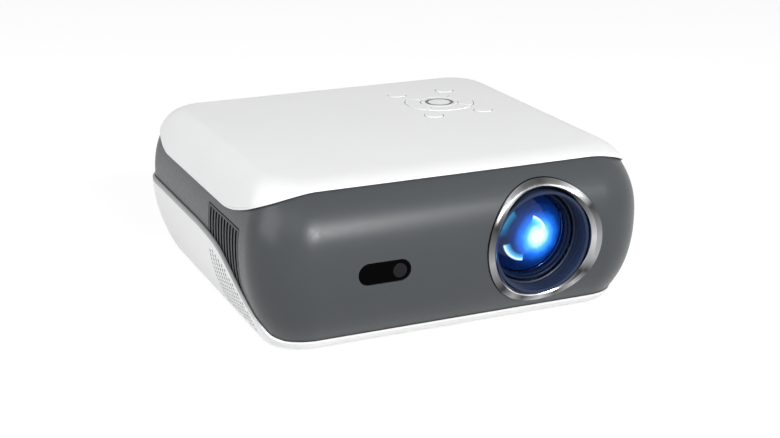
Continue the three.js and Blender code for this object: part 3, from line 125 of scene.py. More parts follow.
class LidSizes(bpy.types.PropertyGroup):
    """The lid and its soft fold"""

    overhang: length("Overhang", "How far the lid's edge stands out over the band", 1.6)
    wall: length("Wall", "Thickness of the lid at its edge", 1.3)
    top_wall: length("Top wall", "Thickness of the lid's flat top", 2)
    flat_half_width: length("Flat half width", "Half the width of the flat top", 91)
    flat_front: length("Flat front", "Reach of the flat top towards the front", 74)
    flat_rear: length("Flat rear", "Reach of the flat top towards the rear", 88.7)
    flat_radius: length("Flat radius", "Corner radius of the flat top", 18)
    leave: share("Leave", "How far out the fold's curve is drawn where it leaves the flat top", 0.44)
    arrive: share("Arrive", "How far out the fold's curve is drawn where it meets the edge", 0.93)
    drop: share("Drop", "How far down the fold's curve is drawn where it meets the edge", 0.39)
    front_arrive: share("Front arrive", "The same as arrive, along the front and rear", 0.74)
    front_drop: share("Front drop", "The same as drop, along the front and rear", 0.34)
    edge_round: length("Edge round", "Rounding of the lid's lower edge", 0.3)
    lip: length("Lip", "Height of the lip along the lid's lower edge", 0.7)
    groove: length("Groove", "Width and depth of the fine groove above the lip", 0.35)


class ShellSizes(bpy.types.PropertyGroup):
    """The lower shell and its swept rim"""

    proud: length("Proud", "How far the shell stands out from the band", 1.6)
    wall: length("Wall", "Thickness of the shell", 1.3)
    floor_thickness: length("Floor", "Thickness of the shell's floor", 2)
    rim_side_height: length("Side rim", "Height of the rim along the sides and rear", 48.5)
    rim_front_height: length("Front rim", "Height of the rim along the front", 8.7)
    rim_run: length("Rim run", "Length over which the rim sweeps down", 85)
    rim_chamfer: length("Rim chamfer", "Width of the soft edge along the rim", 1.1)
    rim_land: length("Rim land", "Width of the shaded strip below the rim's soft edge", 1.5)
    floor_round: length("Floor round", "Rounding where the sides meet the floor", 1.1)
    hole_width: length("Hole width", "Width of a hole in the side fields", 1.45)
    hole_height: length("Hole height", "Height of a hole in the side fields", 1.85)
    hole_pitch: length("Hole pitch", "Height from one hole to the next above it", 2.4)
    field_margin: length("Field margin", "Distance from the rim down to the side fields", 6.8)
    field_bottom: length("Field bottom", "Height of the lowest row of the side fields", 8)


class LensSizes(bpy.types.PropertyGroup):
    """The chrome ring, the recess and the glass"""

    ring_bore: length("Ring bore", "Radius of the chrome ring's bore", 28)
    ring_proud: length("Ring proud", "How far the chrome ring stands out from the band", 1.6)
    ring_round: length("Ring round", "Rounding of the chrome ring's outer edge", 0.5)
    ring_chamfer: length("Ring chamfer", "Width of the bevel that leads into the bore", 1.9)
    funnel_wall: length("Funnel wall", "Thickness of the dark recess", 1.6)
    barrel_wall: length("Barrel wall", "Thickness of the lens barrel's rim", 1.8)
    bead: length("Bead", "Size of the rounding on the barrel's rim", 1.4)
    crown: length("Crown", "Height of the front glass's dome", 4)
    glow_depth: length("Glow depth", "How far behind the front glass the lit inner lens lies", 0.4)


class KeySizes(bpy.types.PropertyGroup):
    """The keys in the lid"""

    ok_radius: length("Centre key", "Radius of the centre key", 11)
    groove_inner: length("Groove inside", "Inner radius of the centre key's groove", 6.9)
    groove_outer: length("Groove outside", "Outer radius of the centre key's groove", 8.4)
    groove_depth: length("Groove depth", "Depth of the centre key's groove", 0.6)
    ring_radius: length("Key ring", "Outer radius of the four quarter keys", 20)
    round_radius: length("Round key", "Radius of the four round keys", 5.2)
    gap: length("Gap", "Gap round each key", 0.4)
    edge_round: length("Edge round", "Rounding of the keys' top edges", 0.35)
    dish: length("Dish", "How far the keys' tops are dished", 0.15)
    flange: length("Flange", "How far each key's flange reaches under the lid", 1.3)
    cap: length("Cap", "Height of each key's top above its flange", 2.6)
    stem: length("Stem", "How far the centre key reaches down past the other keys", 1.8)


class VentSizes(bpy.types.PropertyGroup):
    """The slotted inserts in the band"""

    slots: IntProperty(name="Slots", description="Slots in each vent", default=10)
    slot_share: share("Slot share", "Share of the pitch that a slot takes", 0.52)
    frame_width: length("Frame", "Plain frame round the slots", 1.5)
    rib_round: length("Rib round", "Rounding of the slots' ends", 0.7)


class Colours(bpy.types.PropertyGroup):
    """The finishes' colours"""

    white: colour("White", "Lid and keys", (0.815, 0.817, 0.823))
    lower_white: colour("Lower white", "Lower shell", (0.815, 0.816, 0.82))
    dark: colour("Dark grey", "Band round the case", (0.047, 0.052, 0.056))
    vent: colour("Vent grey", "Slotted inserts", (0.04, 0.044, 0.047))
    chrome: colour("Chrome", "Ring round the lens", (0.93, 0.94, 0.96))
    navy: colour("Navy", "Recess behind the ring", (0.017, 0.027, 0.062))
    gloss_black: colour("Gloss black", "Remote-control window", (0.0012, 0.0012, 0.0014))
    black: colour("Black", "Inner mouldings, dial and panel", (0.018, 0.019, 0.021))
    barrel: colour("Barrel", "Lens barrel", (0.004, 0.012, 0.04))
    # Painted shade: near black that stands in for the shade inside the slots
    slot_painted_shade: colour("Slot black", "Inside of the vents' slots", (0.004, 0.0045, 0.005))
    # Painted shade: a darker grey that stands in for the shade inside the holes
    hole_painted_shade: colour("Hole grey", "Inside of the side fields' holes", (0.19, 0.19, 0.194))
    # Painted shade: a grey that stands in for the shade along the sloping rim
    rim_painted_shade: colour("Rim grey", "Soft edge along the sides of the lower shell's rim", (0.26, 0.26, 0.268))
    # Painted shade: a grey that stands in for the shade in the groove
    groove_painted_shade: colour("Groove grey", "Groove in the centre key", (0.2, 0.2, 0.205))
    receiver: colour("Receiver", "Remote receiver behind its window", (0.009, 0.0093, 0.011))
    glass: colour("Glass", "Coated front lens", (0.62, 0.78, 1.0))
    clear_glass: colour("Clear glass", "Lenses of the light engine", (0.93, 0.96, 0.97))
    mirror: colour("Mirror", "Fold mirror", (0.9, 0.91, 0.92))
    board: colour("Board", "Circuit boards", (0.012, 0.11, 0.05))
    rubber: colour("Rubber", "Feet", (0.022, 0.022, 0.023))
    alloy: colour("Alloy", "Heatsink and lamp board", (0.6, 0.61, 0.63))
    brass: colour("Brass", "Tripod insert", (0.6, 0.45, 0.2))
    steel: colour("Steel", "Screws and sockets", (0.52, 0.53, 0.55))
    nylon: colour("Nylon", "Focus gears", (0.68, 0.66, 0.6))


class StageSizes(bpy.types.PropertyGroup):
    """The camera, the floor and the lamps"""

    camera_x: length("Camera X", "Camera's place across the case", -325.1)
    camera_y: length("Camera Y", "Camera's place in front of the case", -743.9)
    camera_z: length("Camera Z", "Camera's height", 304.7)
    azimuth: FloatProperty(
        name="Azimuth", description="Camera's direction", default=math.radians(-23.757), subtype="ANGLE"
    )
    drop: FloatProperty(
        name="Drop", description="Camera's tilt downwards", default=math.radians(18.466), subtype="ANGLE"
    )
    lens: FloatProperty(name="Lens", description="Focal length in millimetres", default=69.53)
    floor_size: length("Floor", "Width of the floor", 6000)
    floor_bounce: share("Floor bounce", "How much of the light the floor throws back on the case", 0.78)
    floor_shade: share("Floor shade", "How strongly shadows show on the floor", 0.3)
    floor_light: share("Floor light", "How bright the floor shows by itself", 0.82)
    sky: FloatProperty(name="Sky", description="Strength of the soft light from all round", default=0.21)


# Shapes


class Outline:
    """Places round a rounded rectangle: along its four sides and round its four corners."""

    def __init__(self, side_steps, front_steps, front_corner_steps, rear_corner_steps):
        rows = []

        def side(first, last, turn, steps):
            rows.extend((first, last, turn, k / steps) for k in range(steps))

        def corner(which, turn, steps):
            rows.extend((which, which, turn + QUARTER * k / steps, 0) for k in range(steps))

        side(3, 0, math.pi, side_steps)
        corner(0, math.pi, front_corner_steps)
        side(0, 1, math.pi + QUARTER, front_steps)
        corner(1, math.pi + QUARTER, front_corner_steps)
        side(1, 2, 0, side_steps)
        corner(2, 0, rear_corner_steps)
        side(2, 3, QUARTER, front_steps)
        corner(3, QUARTER, rear_corner_steps)
        first, last, turn, along = zip(*rows)
        self.first = np.array(first)
        self.last = np.array(last)
        self.turn = np.array(turn)
        self.along = np.array(along)

    def points(self, half_x, front, rear, front_radius, rear_radius):
        """x and y of every place; each size is a number or an array that matches the places."""

        def end(corner):
            is_front = CORNER_IS_FRONT[corner]
            radius = np.where(is_front, front_radius, rear_radius)
            x = CORNER_SIDE[corner] * (half_x - radius) + radius * np.cos(self.turn)
            middle = np.where(is_front, radius - front, rear - radius)
            return x, middle + radius * np.sin(self.turn)

        x0, y0 = end(self.first)
        x1, y1 = end(self.last)
        return x0 + (x1 - x0) * self.along, y0 + (y1 - y0) * self.along


# The rim's sweep down to the front, seen from the side: for each point, its share of the run and of
# the rise, and how many steps its curve has
RIM_ALONG_SHARES = (0, 0.24, 0.42, 0.55, 0.68, 0.78, 0.87, 0.94, 0.975, 1.03)
RIM_HEIGHT_SHARES = (1, 0.975, 0.92, 0.82, 0.67, 0.5, 0.34, 0.19, 0.06, 0)
RIM_STEPS = 140

# How often the search for a height on the skin halves its range
HALVINGS = 40


def smooth_curve(points, steps):
    """A uniform Catmull-Rom curve through the points."""
    points = np.array(points, float)
    last = len(points) - 1
    found = []
    for k in range(steps + 1):
        at = last * k / steps
        index = min(int(at), last - 1)
        t = at - index
        p0, p1, p2, p3 = (points[min(max(index + shift, 0), last)] for shift in (-1, 0, 1, 2))
        v0, v1 = (p2 - p0) / 2, (p3 - p1) / 2
        found.append(
            (2 * p1 - 2 * p2 + v0 + v1) * t**3 + (3 * p2 - 3 * p1 - 2 * v0 - v1) * t**2 + v0 * t + p1
        )
    return np.array(found)


class Case:
    """The case's outer skin, with one rounded outline for each height, and the lines drawn on it."""

    def __init__(self, scene):
        self.sizes = scene.projector_case
        self.shell = scene.projector_shell
        band_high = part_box("mid_shell")[1]
        self.half_width = band_high.x
        self.half_depth = band_high.y
        self.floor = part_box("bottom_shell")[0].z
        self.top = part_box("top_cover")[1].z
        self.outline = Outline(side_steps=110, front_steps=60, front_corner_steps=60, rear_corner_steps=28)
        self.rim = self.rim_curve()
        self.seam = self.seam_heights()

    def tuck(self, z, top, top_power, bottom, bottom_power):
        """How far a wall leans in at height z, above the waist and below it."""
        s = self.sizes
        above = np.clip((z - s.waist_height) / (s.seam_front_height - s.waist_height), 0, None)
        below = np.clip((s.waist_height - z) / (s.waist_height - self.floor), 0, None)
        return top * above**top_power + bottom * below**bottom_power

    def nose(self, z):
        """How far the front leans in at height z."""
        s = self.sizes
        return self.tuck(z, s.nose_top_tuck, s.nose_top_power, s.nose_bottom_tuck, s.nose_bottom_power)

    def skin(self, z, grow):
        """x and y of every place at height z, moved outwards by grow."""
        s = self.sizes
        nose = self.nose(z) - grow
        side = self.tuck(z, s.side_top_tuck, s.side_top_power, s.side_bottom_tuck, s.side_bottom_power) - grow
        front_shrink = s.corner_shrink * np.minimum(nose, side)
        front_radius = np.maximum(s.front_corner - front_shrink, s.least_corner)
        rear_radius = np.maximum(s.rear_corner - s.corner_shrink * side, s.least_corner)
        return self.outline.points(
            self.half_width - side, self.half_depth - nose, self.half_depth - side, front_radius, rear_radius
        )

    def ring(self, z, grow):
        """A ring of points on the skin; z is one height or one for each place."""
        heights = np.broadcast_to(np.asarray(z, float), self.outline.turn.shape)
        x, y = self.skin(heights, grow)
        return np.stack([x, y, heights], axis=1)

    def face(self, z, grow):
        """y of the skin's straight front at height z."""
        return self.nose(z) - self.half_depth - grow

    def walked(self, x, y, corner):
        """How far each place is from the middle of a side, walking towards +Y round a corner."""
        corner_x = self.half_width - corner
        corner_y = self.half_depth - corner
        round_corner = corner_y + corner * np.arctan2(y - corner_y, np.abs(x) - corner_x)
        across = corner_y + corner * QUARTER + corner_x - np.abs(x)
        return np.where(y < corner_y, y, np.where(np.abs(x) > corner_x, round_corner, across))

    def seam_heights(self):
        """The seam's height at every place, rising from the sides to the front and to the rear."""
        s = self.sizes
        x, y = self.skin(s.waist_height, 0)
        front = np.clip((self.walked(x, -y, s.front_corner) - s.seam_start) / s.seam_run, 0, 1)
        rear = np.clip((self.walked(x, y, s.rear_corner) - s.seam_rear_start) / s.seam_rear_run, 0, 1)
        t = np.maximum(front, rear)
        return s.seam_side_height + (s.seam_front_height - s.seam_side_height) * t * t * (3 - 2 * t)

    def rim_curve(self):
        """The rim seen from the side, as y and z."""
        shell = self.shell
        rise = shell.rim_side_height - shell.rim_front_height
        points = [
            (-shell.rim_run * along, shell.rim_front_height + rise * height)
            for along, height in zip(RIM_ALONG_SHARES, RIM_HEIGHT_SHARES)
        ]
        return smooth_curve(points, RIM_STEPS)

    def rim_height(self, y, below=0.0):
        """The rim's height at y, or that of a line drawn a set distance below it."""
        curve = self.rim
        slope = np.gradient(curve, axis=0)
        across = np.stack([-slope[:, 1], slope[:, 0]], axis=1)
        across /= np.linalg.norm(across, axis=1)[:, None]
        moved = curve + across * below
        order = np.argsort(moved[:, 0])
        return np.interp(y, moved[order, 0], moved[order, 1])

    def rim_heights(self, grow, below=0.0):
        """Where each place's upright line on the skin meets the rim."""
        low = np.full(self.outline.turn.shape, self.floor)
        high = np.full(self.outline.turn.shape, self.shell.rim_side_height + self.shell.wall)
        for _ in range(HALVINGS):
            middle = (low + high) / 2
            under = self.rim_height(self.skin(middle, grow)[1], below) > middle
            low = np.where(under, middle, low)
            high = np.where(under, high, middle)
        return low


def ring_faces(rings, count, closed):
    """Quads between neighbouring rings; a closed list joins its last ring to its first."""
    faces = []
    for ring in range(rings if closed else rings - 1):
        low, high = ring * count, ((ring + 1) % rings) * count
        faces.extend(
            (low + k, low + (k + 1) % count, high + (k + 1) % count, high + k) for k in range(count)
        )
    return faces


def skinned(rings, closed=False):
    """Points and faces of a skin through rings of points; open ends are capped."""
    count = len(rings[0])
    points = np.concatenate(rings)
    faces = ring_faces(len(rings), count, closed)
    if not closed:
        last = (len(rings) - 1) * count
        faces.append(tuple(reversed(range(count))))
        faces.append(tuple(range(last, last + count)))
    return points, faces


def filled(ring, centre, shares):
    """Rings that close a flat ring towards its centre."""
    return [centre + (ring - centre) * part for part in shares]


def rounding(soft, steps, first=0.0):
    """A rounded edge's points, each as two distances: one grows to soft while the other shrinks to 0."""
    turns = np.linspace(first, QUARTER, steps)
    return [(soft * (1 - math.cos(turn)), soft * (1 - math.sin(turn))) for turn in turns]


def signed_volume(points, faces):
    """Six times the volume that the faces hold, below 0 where they face inwards."""
    total = 0.0
    for face in faces:
        first = points[face[0]]
        for k in range(1, len(face) - 1):
            total += np.dot(first, np.cross(points[face[k]], points[face[k + 1]]))
    return total


def facing_out(points, faces):
    """The same faces, turned over if they face inwards."""
    points = np.asarray(points, float)
    if signed_volume(points, faces) < 0:
        faces = [tuple(reversed(face)) for face in faces]
    return points, faces


def on_axis(axis, across, up, along):
    """A point from its two places across an axis and its place along it."""
    return {"x": (along, across, up), "y": (across, along, up), "z": (across, up, along)}[axis]


def prism(outline, axis, low, high):
    """An outline pushed along an axis."""
    count = len(outline)
    points = [on_axis(axis, u, v, end) for end in (low, high) for u, v in outline]
    faces = ring_faces(2, count, False)
    faces += [tuple(reversed(range(count))), tuple(range(count, 2 * count))]
    return facing_out(points, faces)


def turned(profile, axis, centre, steps):
    """A profile of radius and place along the axis, turned round it. Points on the axis become poles."""
    points, rows = [], []
    for radius, along in profile:
        if radius <= 0:
            rows.append([len(points)] * steps)
            points.append(on_axis(axis, centre[0], centre[1], along))
            continue
        rows.append(list(range(len(points), len(points) + steps)))
        for k in range(steps):
            turn = FULL_TURN * k / steps
            across = centre[0] + radius * math.cos(turn)
            points.append(on_axis(axis, across, centre[1] + radius * math.sin(turn), along))
    pairs = list(zip(rows, rows[1:]))
    if profile[0][0] > 0:
        pairs.append((rows[-1], rows[0]))
    faces = []
    for low, high in pairs:
        for k in range(steps):
            nxt = (k + 1) % steps
            face = dict.fromkeys((low[k], low[nxt], high[nxt], high[k]))
            if len(face) > 2:
                faces.append(tuple(face))
    return facing_out(points, faces)


def circle(centre, radius, steps):
    turns = [FULL_TURN * k / steps for k in range(steps)]
    return [(centre[0] + radius * math.cos(t), centre[1] + radius * math.sin(t)) for t in turns]


def rounded_box(low, high, radius, steps):
    """A rectangle's outline with rounded corners."""
    corners = [
        (high[0] - radius, high[1] - radius, 0),
        (low[0] + radius, high[1] - radius, QUARTER),
        (low[0] + radius, low[1] + radius, 2 * QUARTER),
        (high[0] - radius, low[1] + radius, 3 * QUARTER),
    ]
    return [
        (x + radius * math.cos(turn), y + radius * math.sin(turn))
        for x, y, start in corners
        for turn in (start + QUARTER * k / steps for k in range(steps + 1))
    ]


def gathered(shapes):
    """Several separate shapes as one list of points and faces."""
    points, faces, base = [], [], 0
    for shape_points, shape_faces in shapes:
        points.append(shape_points)
        faces.extend(tuple(base + k for k in face) for face in shape_faces)
        base += len(shape_points)
    return np.concatenate(points), faces


# Objects


def new_object(name, shape):
    points, faces = shape
    mesh = bpy.data.meshes.new(name)
    mesh.from_pydata([tuple(point) for point in points], [], faces)
    mesh.validate()
    made = bpy.data.objects.new(name, mesh)
    bpy.context.scene.collection.objects.link(made)
    return made


def combined(piece, shapes, operation):
    """The piece with the shapes cut out of it, joined to it, or kept in common with it."""
    tool = new_object("tool", gathered(shapes))
    modifier = piece.modifiers.new("combine", "BOOLEAN")
    modifier.object = tool
    modifier.operation = operation
    modifier.solver = "MANIFOLD"
    evaluated = piece.evaluated_get(bpy.context.evaluated_depsgraph_get())
    mesh = bpy.data.meshes.new_from_object(evaluated)
    piece.modifiers.clear()
    if not mesh.polygons:
        raise RuntimeError(f"{piece.name}: nothing is left after {operation.lower()}")
    before = piece.data
    piece.data = mesh
    bpy.data.meshes.remove(before)
    bpy.data.objects.remove(tool)
    return piece


def smoothed(piece, degrees=32):
    """Smooth shading with sharp edges where faces meet at more than an angle."""
    piece.data.shade_smooth()
    piece.data.set_sharp_from_angle(angle=math.radians(degrees))
    return piece


# How near a face must lie to its skin, how nearly it must face the same way (a cosine), and how
# nearly the skin's shading must (a cosine too), and the angle from which on a skin has a crease
SKIN_REACH = 0.02 * MM
SKIN_FACING = 0.9
SKIN_SHADING = 0.8
SKIN_CREASE = math.radians(40)


def shaded_like(piece, skin_shape):
    """Gives a cut piece the smooth shading that its skin had before the cuts."""
    points, faces = skin_shape
    source = bpy.data.meshes.new("skin")
    source.from_pydata([tuple(point) for point in points], [], faces)
    source.shade_smooth()
    source.set_sharp_from_angle(angle=SKIN_CREASE)
    corner_normals = [tuple(corner.vector) for corner in source.corner_normals]
    tree = BVHTree.FromPolygons([v.co for v in source.vertices], [p.vertices for p in source.polygons])
    smoothed(piece)
    mesh = piece.data
    normals = [(0.0, 0.0, 0.0)] * len(mesh.loops)
    for polygon in mesh.polygons:
        place, normal, _, distance = tree.find_nearest(polygon.center)
        if place is None or distance > SKIN_REACH or normal.dot(polygon.normal) < SKIN_FACING:
            continue
        for loop in polygon.loop_indices:
            corner = mesh.vertices[mesh.loops[loop].vertex_index].co
            near, _, index, distance = tree.find_nearest(corner)
            if near is None or distance > SKIN_REACH:
                continue
            owner = source.polygons[index]
            weights = poly_3d_calc([source.vertices[v].co for v in owner.vertices], near)
            mixed = Vector((0, 0, 0))
            for weight, source_loop in zip(weights, owner.loop_indices):
                mixed += weight * Vector(corner_normals[source_loop])
            if mixed.length > 0 and mixed.normalized().dot(polygon.normal) > SKIN_SHADING:
                normals[loop] = tuple(mixed.normalized())
    mesh.normals_split_custom_set(normals)
    bpy.data.meshes.remove(source)
    return piece


def placed(piece, body, slot, *nodes, finish=None):
    """Gives a piece its slot's finish or another, and lets it ride on its body in the nodes' place."""
    piece.data.materials.clear()
    piece.data.materials.append(finish or finish_for(slot))
    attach(piece, body)
    if nodes:
        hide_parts(*nodes)
    return piece


def further_finish(piece, finish, chosen):
    """Gives the faces that a test picks a finish of their own."""
    piece.data.materials.append(finish)
    index = len(piece.data.materials) - 1
    for face in piece.data.polygons:
        if chosen(face.center, face.normal):
            face.material_index = index


# Finishes

# Sizes of a moulding's grain and of the specks in its gloss, and the depth of the grain
GRAIN, SPECK, GRAIN_DEPTH = 0.35 * MM, 1.6 * MM, 0.02 * MM


def feed(tree, socket, value):
    """Links another node's output to a socket, or gives the socket a constant."""
    if isinstance(value, bpy.types.NodeSocket):
        tree.links.new(value, socket)
    else:
        socket.default_value = value


def new_node(tree, kind, inputs=None, **settings):
    """A new node with its settings, and its inputs fed by name or by number."""
    made = tree.nodes.new(kind)
    for key, value in settings.items():
        setattr(made, key, value)
    for key, value in (inputs or {}).items():
        feed(tree, made.inputs[key], value)
    return made


class Finish:
    """A procedural finish, built node by node on the object's own coordinates."""

    def __init__(self, name):
        self.material = bpy.data.materials.new(name + FINISH_ENDING)
        self.material.use_nodes = True
        self.tree = self.material.node_tree
        self.shader = self.tree.nodes["Principled BSDF"]
        self.coordinates = self.node("ShaderNodeTexCoord").outputs["Object"]

    def surface(self, name, value):
        """Feeds one of the inputs of the finish's shader."""
        feed(self.tree, self.shader.inputs[name], value)

    def node(self, kind, inputs=None, **settings):
        return new_node(self.tree, kind, inputs, **settings)

    def noise(self, scale, detail, roughness=0.5):
        """Noise with so many cells to the metre."""
        inputs = {"Scale": scale, "Detail": detail, "Roughness": roughness, "Vector": self.coordinates}
        return self.node("ShaderNodeTexNoise", inputs).outputs["Fac"]

    def ranged(self, source, low, high):
        """The middle range of a noise, spread from low to high."""
        inputs = {"Value": source, "From Min": 0.3, "From Max": 0.7, "To Min": low, "To Max": high}
        return self.node("ShaderNodeMapRange", inputs).outputs["Result"]

    def blended(self, factor, first, second):
        """A tone between two others."""
        inputs = {"Factor": factor, "A": (*first, 1), "B": (*second, 1)}
        return self.node("ShaderNodeMix", inputs, data_type="RGBA").outputs["Result"]

    def mixed(self, blend, first, second):
        """Two tones added or multiplied in full."""
        inputs = {"Factor": 1, "A": first, "B": second}
        return self.node("ShaderNodeMix", inputs, data_type="RGBA", blend_type=blend).outputs["Result"]

    def ramp(self, source, stops):
        """A tone read off a row of stops, each a place from 0 to 1 and its tone."""
        made = self.node("ShaderNodeValToRGB", {"Fac": source})
        elements = made.color_ramp.elements
        while len(elements) > 1:
            elements.remove(elements[-1])
        elements[0].position, elements[0].color = stops[0][0], (*stops[0][1], 1)
        for position, value in stops[1:]:
            elements.new(position).color = (*value, 1)
        return made.outputs["Color"]

    def math(self, operation, first, second=0.0):
        return self.node("ShaderNodeMath", {0: first, 1: second}, operation=operation).outputs["Value"]

    def turn_share(self, place):
        """Which share of a turn about the Y axis a place has made, from 0 at the right and upwards."""
        parts = self.node("ShaderNodeSeparateXYZ", {"Vector": place}).outputs
        angle = self.math("ARCTAN2", parts["Z"], parts["X"])
        return self.math("FRACT", self.math("ADD", self.math("DIVIDE", angle, FULL_TURN), 1.0))

    def moved(self, centre, shares, radius):
        """The object's XZ coordinates from a place that lies some shares of a radius from a centre."""
        x, z = (middle + part * radius for middle, part in zip(centre, shares))
        inputs = {"Location": (-x, 0, -z), "Scale": (1, 0, 1), "Vector": self.coordinates}
        return self.node("ShaderNodeMapping", inputs).outputs["Vector"]

    def reach(self, place, radius):
        """Distance from the origin as a share of a radius."""
        size = self.node("ShaderNodeVectorMath", {0: place}, operation="LENGTH")
        return self.math("DIVIDE", size.outputs["Value"], radius)

    def bump(self, height, strength, distance, before=None):
        """Roughens the surface, over an earlier bump where there is one."""
        inputs = {"Height": height, "Strength": strength, "Distance": distance}
        if before is not None:
            inputs["Normal"] = before
        made = self.node("ShaderNodeBump", inputs).outputs["Normal"]
        self.surface("Normal", made)
        return made


def shade(value, factor):
    return tuple(part * factor for part in value)


def moulded(name, value, roughness, grain, gloss=0.5):
    """Moulded plastic: a fine spark-eroded grain, a slow drift of tone and uneven gloss."""
    finish = Finish(name)
    drift = finish.noise(22, detail=3)
    speck = finish.noise(1 / SPECK, detail=2)
    finish.surface("Base Color", finish.blended(drift, shade(value, 0.975), shade(value, 1.02)))
    finish.surface("Roughness", finish.ranged(speck, roughness - 0.04, roughness + 0.05))
    finish.surface("Specular IOR Level", gloss)
    waves = finish.bump(finish.noise(35, detail=1), 0.12, 0.2 * MM)
    finish.bump(finish.noise(1 / GRAIN, detail=1), grain, GRAIN_DEPTH, before=waves)


def fading_up(name, low_value, high_value, start, roughness):
    """Moulded plastic that turns from one tone to another above a height, over three times that height; it
    carries the rim's painted shade.
    """
    finish = Finish(name)
    height = finish.node("ShaderNodeSeparateXYZ", {"Vector": finish.coordinates}).outputs["Z"]
    climb = finish.math("DIVIDE", finish.math("SUBTRACT", height, start), 3 * start)
    finish.surface("Base Color", finish.ramp(climb, ((0.0, low_value), (1.0, high_value))))
    speck = finish.noise(1 / SPECK, detail=2)
    finish.surface("Roughness", finish.ranged(speck, roughness - 0.03, roughness + 0.04))
    finish.bump(finish.noise(1 / GRAIN, detail=1), 0.06, GRAIN_DEPTH)


def polished(name, value, roughness, gloss):
    """Polished dark plastic with faint orange peel and the odd smear in its gloss."""
    finish = Finish(name)
    drift = finish.noise(60, detail=4)
    finish.surface("Base Color", finish.blended(drift, shade(value, 0.8), shade(value, 1.25)))
    smear = finish.noise(180, detail=5, roughness=0.7)
    finish.surface("Roughness", finish.ranged(smear, roughness, roughness + 0.06))
    finish.surface("Specular IOR Level", gloss)
    finish.bump(finish.noise(260, detail=1), 0.05, 0.05 * MM)


# The chrome ring's painted reflections: soft bright and dark zones painted into the base colour of its face
# and of its bevel, as shares of a turn from the ring's right side
FACE_PAINTED_REFLECTION = (
    (0.0, 0.36), (0.05, 0.18), (0.095, 0.05), (0.145, 0.7), (0.2, 0.22), (0.25, 0.08), (0.3, 0.13),
    (0.36, 0.55), (0.405, 0.14), (0.435, 0.04), (0.49, 0.18), (0.53, 0.38), (0.58, 0.2), (0.62, 0.03),
    (0.665, 0.34), (0.7, 0.06), (0.758, 0.5), (0.8, 0.07), (0.855, 0.45), (0.9, 0.05), (0.944, 0.4),
    (1.0, 0.36),
)
BEVEL_PAINTED_REFLECTION = (
    (0.0, 0.62), (0.08, 0.2), (0.14, 0.06), (0.24, 0.12), (0.3, 0.5), (0.36, 0.22), (0.45, 0.08),
    (0.52, 0.3), (0.59, 0.8), (0.65, 1.0), (0.71, 0.8), (0.73, 1.0), (0.78, 0.6), (0.84, 0.18),
    (0.89, 0.04), (0.94, 0.4), (1.0, 0.62),
)


def metal(name, value, roughness, lines=0.25 * MM, direction="Z", centre=(0, 0, 0), strength=0.1, painted_reflection=()):
    """Machined metal: fine turning lines round an axis, and a soft variation of tone and gloss; where given,
    painted reflections as bright and dark zones round the axis in its base colour.
    """
    finish = Finish(name)
    inputs = {"Location": [-part for part in centre], "Vector": finish.coordinates}
    place = finish.node("ShaderNodeMapping", inputs).outputs["Vector"]
    inputs = {"Scale": 1 / (lines * FULL_TURN), "Distortion": 0.6, "Detail Scale": 1.5, "Vector": place}
    wave = finish.node("ShaderNodeTexWave", inputs, wave_type="RINGS", rings_direction=direction)
    cloud = finish.noise(140, detail=4)
    tone = finish.blended(cloud, shade(value, 0.9), shade(value, 1.04))
    # Painted reflections: bright and dark zones round the axis, multiplied into the base colour
    if painted_reflection:
        reflection_stops = [(turn, (level, level, level)) for turn, level in painted_reflection]
        tone = finish.mixed("MULTIPLY", tone, finish.ramp(finish.turn_share(place), reflection_stops))
    finish.surface("Base Color", tone)
    finish.surface("Roughness", finish.ranged(cloud, roughness - 0.03, roughness + 0.06))
    finish.surface("Metallic", 1)
    finish.bump(wave.outputs["Fac"], strength, 0.02 * MM)


def rubbery(name, value):
    """Matt rubber with a coarse, slightly dusty skin."""
    finish = Finish(name)
    dust = finish.noise(420, detail=4)
    finish.surface("Base Color", finish.blended(dust, shade(value, 0.75), shade(value, 1.9)))
    finish.surface("Roughness", finish.ranged(dust, 0.78, 0.92))
    finish.bump(finish.noise(1400, detail=3), 0.4, 0.06 * MM)


def circuit(name, value):
    """Solder mask over copper tracks: blocks of darker and paler tracks and a soft gloss."""
    finish = Finish(name)
    tones = {"Color1": 0.8, "Color2": 1.15, "Mortar": 1.7}
    inputs = {socket: (*shade(value, factor), 1) for socket, factor in tones.items()}
    inputs.update({"Scale": 90, "Mortar Size": 0.02, "Vector": finish.coordinates})
    tracks = finish.node("ShaderNodeTexBrick", inputs)
    finish.surface("Base Color", tracks.outputs["Color"])
    finish.surface("Roughness", finish.ranged(finish.noise(900, detail=3), 0.25, 0.45))
    finish.bump(tracks.outputs["Fac"], 0.3, 0.04 * MM)


def clear_glass(name, value, bend, roughness=0.02):
    """Polished glass with a faint unevenness of its coating."""
    finish = Finish(name)
    veil = finish.noise(70, detail=2)
    finish.surface("Base Color", finish.blended(veil, shade(value, 0.94), value))
    finish.surface("Roughness", finish.ranged(veil, roughness, roughness + 0.02))
    finish.surface("Transmission Weight", 1)
    finish.surface("IOR", bend)


